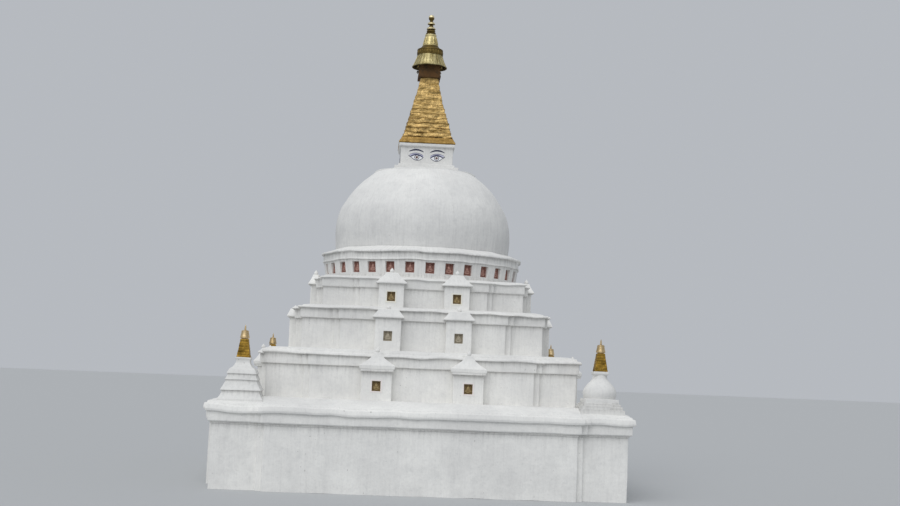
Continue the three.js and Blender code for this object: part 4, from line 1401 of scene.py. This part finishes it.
# %% The carved slate
def carved_slate(width, height):
    """A slate that faces the front, its back at y = 0. Returns its shape and its relief."""
    work = bmesh.new()

    def slab(x, z, wide, tall, deep):
        where = Matrix.Translation((x, -deep / 2, z)) @ Matrix.Diagonal((wide, deep, tall, 1))
        bmesh.ops.create_cube(work, size=1, matrix=where)

    def ball(x, z, wide, tall, deep, lean=0.0):
        where = (Matrix.Translation((x, -0.03, z)) @ Matrix.Rotation(lean, 4, "Y")
                 @ Matrix.Diagonal((wide, deep, tall, 1)))
        bmesh.ops.create_uvsphere(work, u_segments=8, v_segments=6, radius=0.5, matrix=where)

    def hoop(x, z, radius, thick, turns=14):
        corners = []
        for k in range(turns):
            angle = 2 * math.pi * k / turns
            for a, b in ((-1, 0), (0, -1), (1, 0), (0, 1)):
                reach = radius + a * thick
                corners.append(work.verts.new(
                    (x + reach * math.cos(angle), -0.03 + b * thick, z + reach * math.sin(angle))))
        for k in range(turns):
            for m in range(4):
                a, b = 4 * k + m, 4 * k + (m + 1) % 4
                c, d = (b + 4) % len(corners), (a + 4) % len(corners)
                work.faces.new([corners[i] for i in (a, b, c, d)])

    slab(0, 0, width, height, 0.03)
    border = 0.035
    for side in (-1, 1):
        slab(side * (width - border) / 2, 0, border, height, 0.052)
        slab(0, side * (height - border) / 2, width, border, 0.05)
        for level in (-0.12, 0.17):
            hoop(side * 0.36 * width, level * height / 0.57, 0.035, 0.014)
    for petal_turn in range(-3, 4):
        lean = petal_turn * math.radians(25)
        ball(0.14 * math.sin(lean), -0.27 * height + 0.13 * math.cos(lean), 0.08, 0.19, 0.06, lean)
    ball(0, -0.3 * height, 0.36, 0.09, 0.07)
    ball(0, 0.11 * height, 0.19, 0.21, 0.09)
    ball(0, 0.33 * height, 0.06, 0.13, 0.06)
    hoop(0, 0.11 * height, 0.15, 0.02, 20)
    bmesh.ops.recalc_face_normals(work, faces=work.faces)
    points = [vertex.co.copy() for vertex in work.verts]
    work.verts.index_update()
    faces = [tuple(vertex.index for vertex in face.verts) for face in work.faces]
    work.free()
    marks = [min(max((-point.y - 0.032) / 0.03, 0.0), 1.0) for point in points]
    return (points, faces), marks


print("a slate takes", len(carved_slate(0.5, 0.6)[0][1]), "faces")

# %% The plain frame
def plain_frame(wide, tall, bar=0.075, proud=0.022):
    """A flat plaster frame round a niche of the front, its back sunk in the wall."""
    section = [(-0.008, 0.05), (-0.008, -0.5 * proud), (0.01, -proud), (0.85 * bar, -proud), (bar, 0.05)]
    points, faces = [], []
    for reach, depth in section:
        for x, z in SQUARE:
            points.append(Vector((x * (wide / 2 + reach), depth, z * (tall / 2 + reach))))
    for k in range(len(section)):
        inner, outer = 4 * k, 4 * ((k + 1) % len(section))
        for i in range(4):
            j = (i + 1) % 4
            faces.append((inner + i, outer + i, outer + j, inner + j))
    return points, faces


print("a frame takes", len(plain_frame(0.5, 0.6)[1]), "faces")

# %% Slates and frames in place
slate, marks = carved_slate(NICHE_WIDE - 0.02, NICHE_HIGH - NICHE_LOW - 0.02)
lay_by_hand(ring_of(
    "drum_niche_slates", slate, NICHES, RED_SLATE, "niche_panel", marks, seed=9,
    radius=NICHE_BACK - 0.005, height=(NICHE_LOW + NICHE_HIGH) / 2, start=NICHE_TURN, unevenness=0.0015))
SHRINE_PAINTS = {2: (GOLD_SLATE, FRAME_PINK), 3: (GREY_SLATE, None), 4: (GOLD_SLATE, FRAME_CREAM)}
for storey, (slate_paint, frame_paint) in SHRINE_PAINTS.items():
    size = SHRINES[storey]
    wide, tall, height = size.niche_wide, size.niche_tall, size.niche_middle
    slate, marks = carved_slate(wide - 0.01, tall - 0.01)
    pair = together([moved_by(slate, side * size.offset, 0) for side in (-1, 1)])
    lay_by_hand(ring_of(f"terrace_{storey}_shrine_slates", pair, 4, slate_paint, "plaque", marks * 2,
                        radius=size.front - NICHE_DEPTH - 0.005, height=height))
    if frame_paint:
        pair = together([moved_by(plain_frame(wide, tall), side * size.offset, 0) for side in (-1, 1)])
        lay_by_hand(ring_of(f"terrace_{storey}_niche_frames", pair, 4, frame_paint, "whitewash",
                            radius=size.front, height=height))

# %% [markdown]
# ## Light, ground and camera
# Under an overcast sky the light is soft and comes from all over, a little stronger
# from above. A pale grey sky and one wide soft sun give that. The camera stands low in
# front, a little left of the axis, with a long normal lens and the slight tilt of a
# picture taken by hand.

# %% Ground
ground = new_material("pale_plain_ground", roughness=0.9)[0]
ground.node_tree.nodes["Principled BSDF"].inputs["Base Color"].default_value = srgb("#B9BBBC")
GROUND_REACH = 400.0
GROUND_LEVEL = -0.002     # just under the foot, so that no two faces lie in one plane
floor_corners = [Vector((x * GROUND_REACH, y * GROUND_REACH, GROUND_LEVEL)) for x, y in SQUARE]
floor = new_piece("ground", (floor_corners, [(0, 1, 2, 3)]), [ground])
print("ground:", 2 * GROUND_REACH, "m across")

# %% Sky and sun
sky = bpy.data.worlds.new("overcast_sky")
bpy.context.scene.world = sky
sky.use_nodes = True
sky.node_tree.nodes["Background"].inputs["Color"].default_value = srgb("#C4C8CE")
sky.node_tree.nodes["Background"].inputs["Strength"].default_value = 0.85

sun = bpy.data.lights.new("soft_sun", "SUN")
sun.energy = 1.5
sun.angle = math.radians(60)
sun_lamp = bpy.data.objects.new("soft_sun", sun)
sun_lamp.rotation_euler = Euler((math.radians(38), math.radians(-19), 0))
bpy.context.scene.collection.objects.link(sun_lamp)
bpy.context.scene.view_settings.view_transform = "Standard"

# %% Camera
LENS = 50.4                       # millimetres on a 36 mm wide sensor
EYE = (-2.94, -81.35, 7.13)
HEADING, PITCH, ROLL = 3.36, 5.14, 2.3   # degrees: to the right of +Y, up, anticlockwise
camera = bpy.data.cameras.new("eye_level_camera")
camera.lens = LENS
camera.sensor_width = 36.0
camera.clip_end = 2000.0
viewer = bpy.data.objects.new("eye_level_camera", camera)
viewer.matrix_world = (
    Matrix.Translation(EYE)
    @ Matrix.Rotation(math.radians(-HEADING), 4, "Z")
    @ Matrix.Rotation(math.radians(90 + PITCH), 4, "X")
    @ Matrix.Rotation(math.radians(ROLL), 4, "Z")
)
bpy.context.scene.collection.objects.link(viewer)
bpy.context.scene.camera = viewer
print("camera stands", round(Vector(EYE).to_2d().length, 1), "m from the axis")
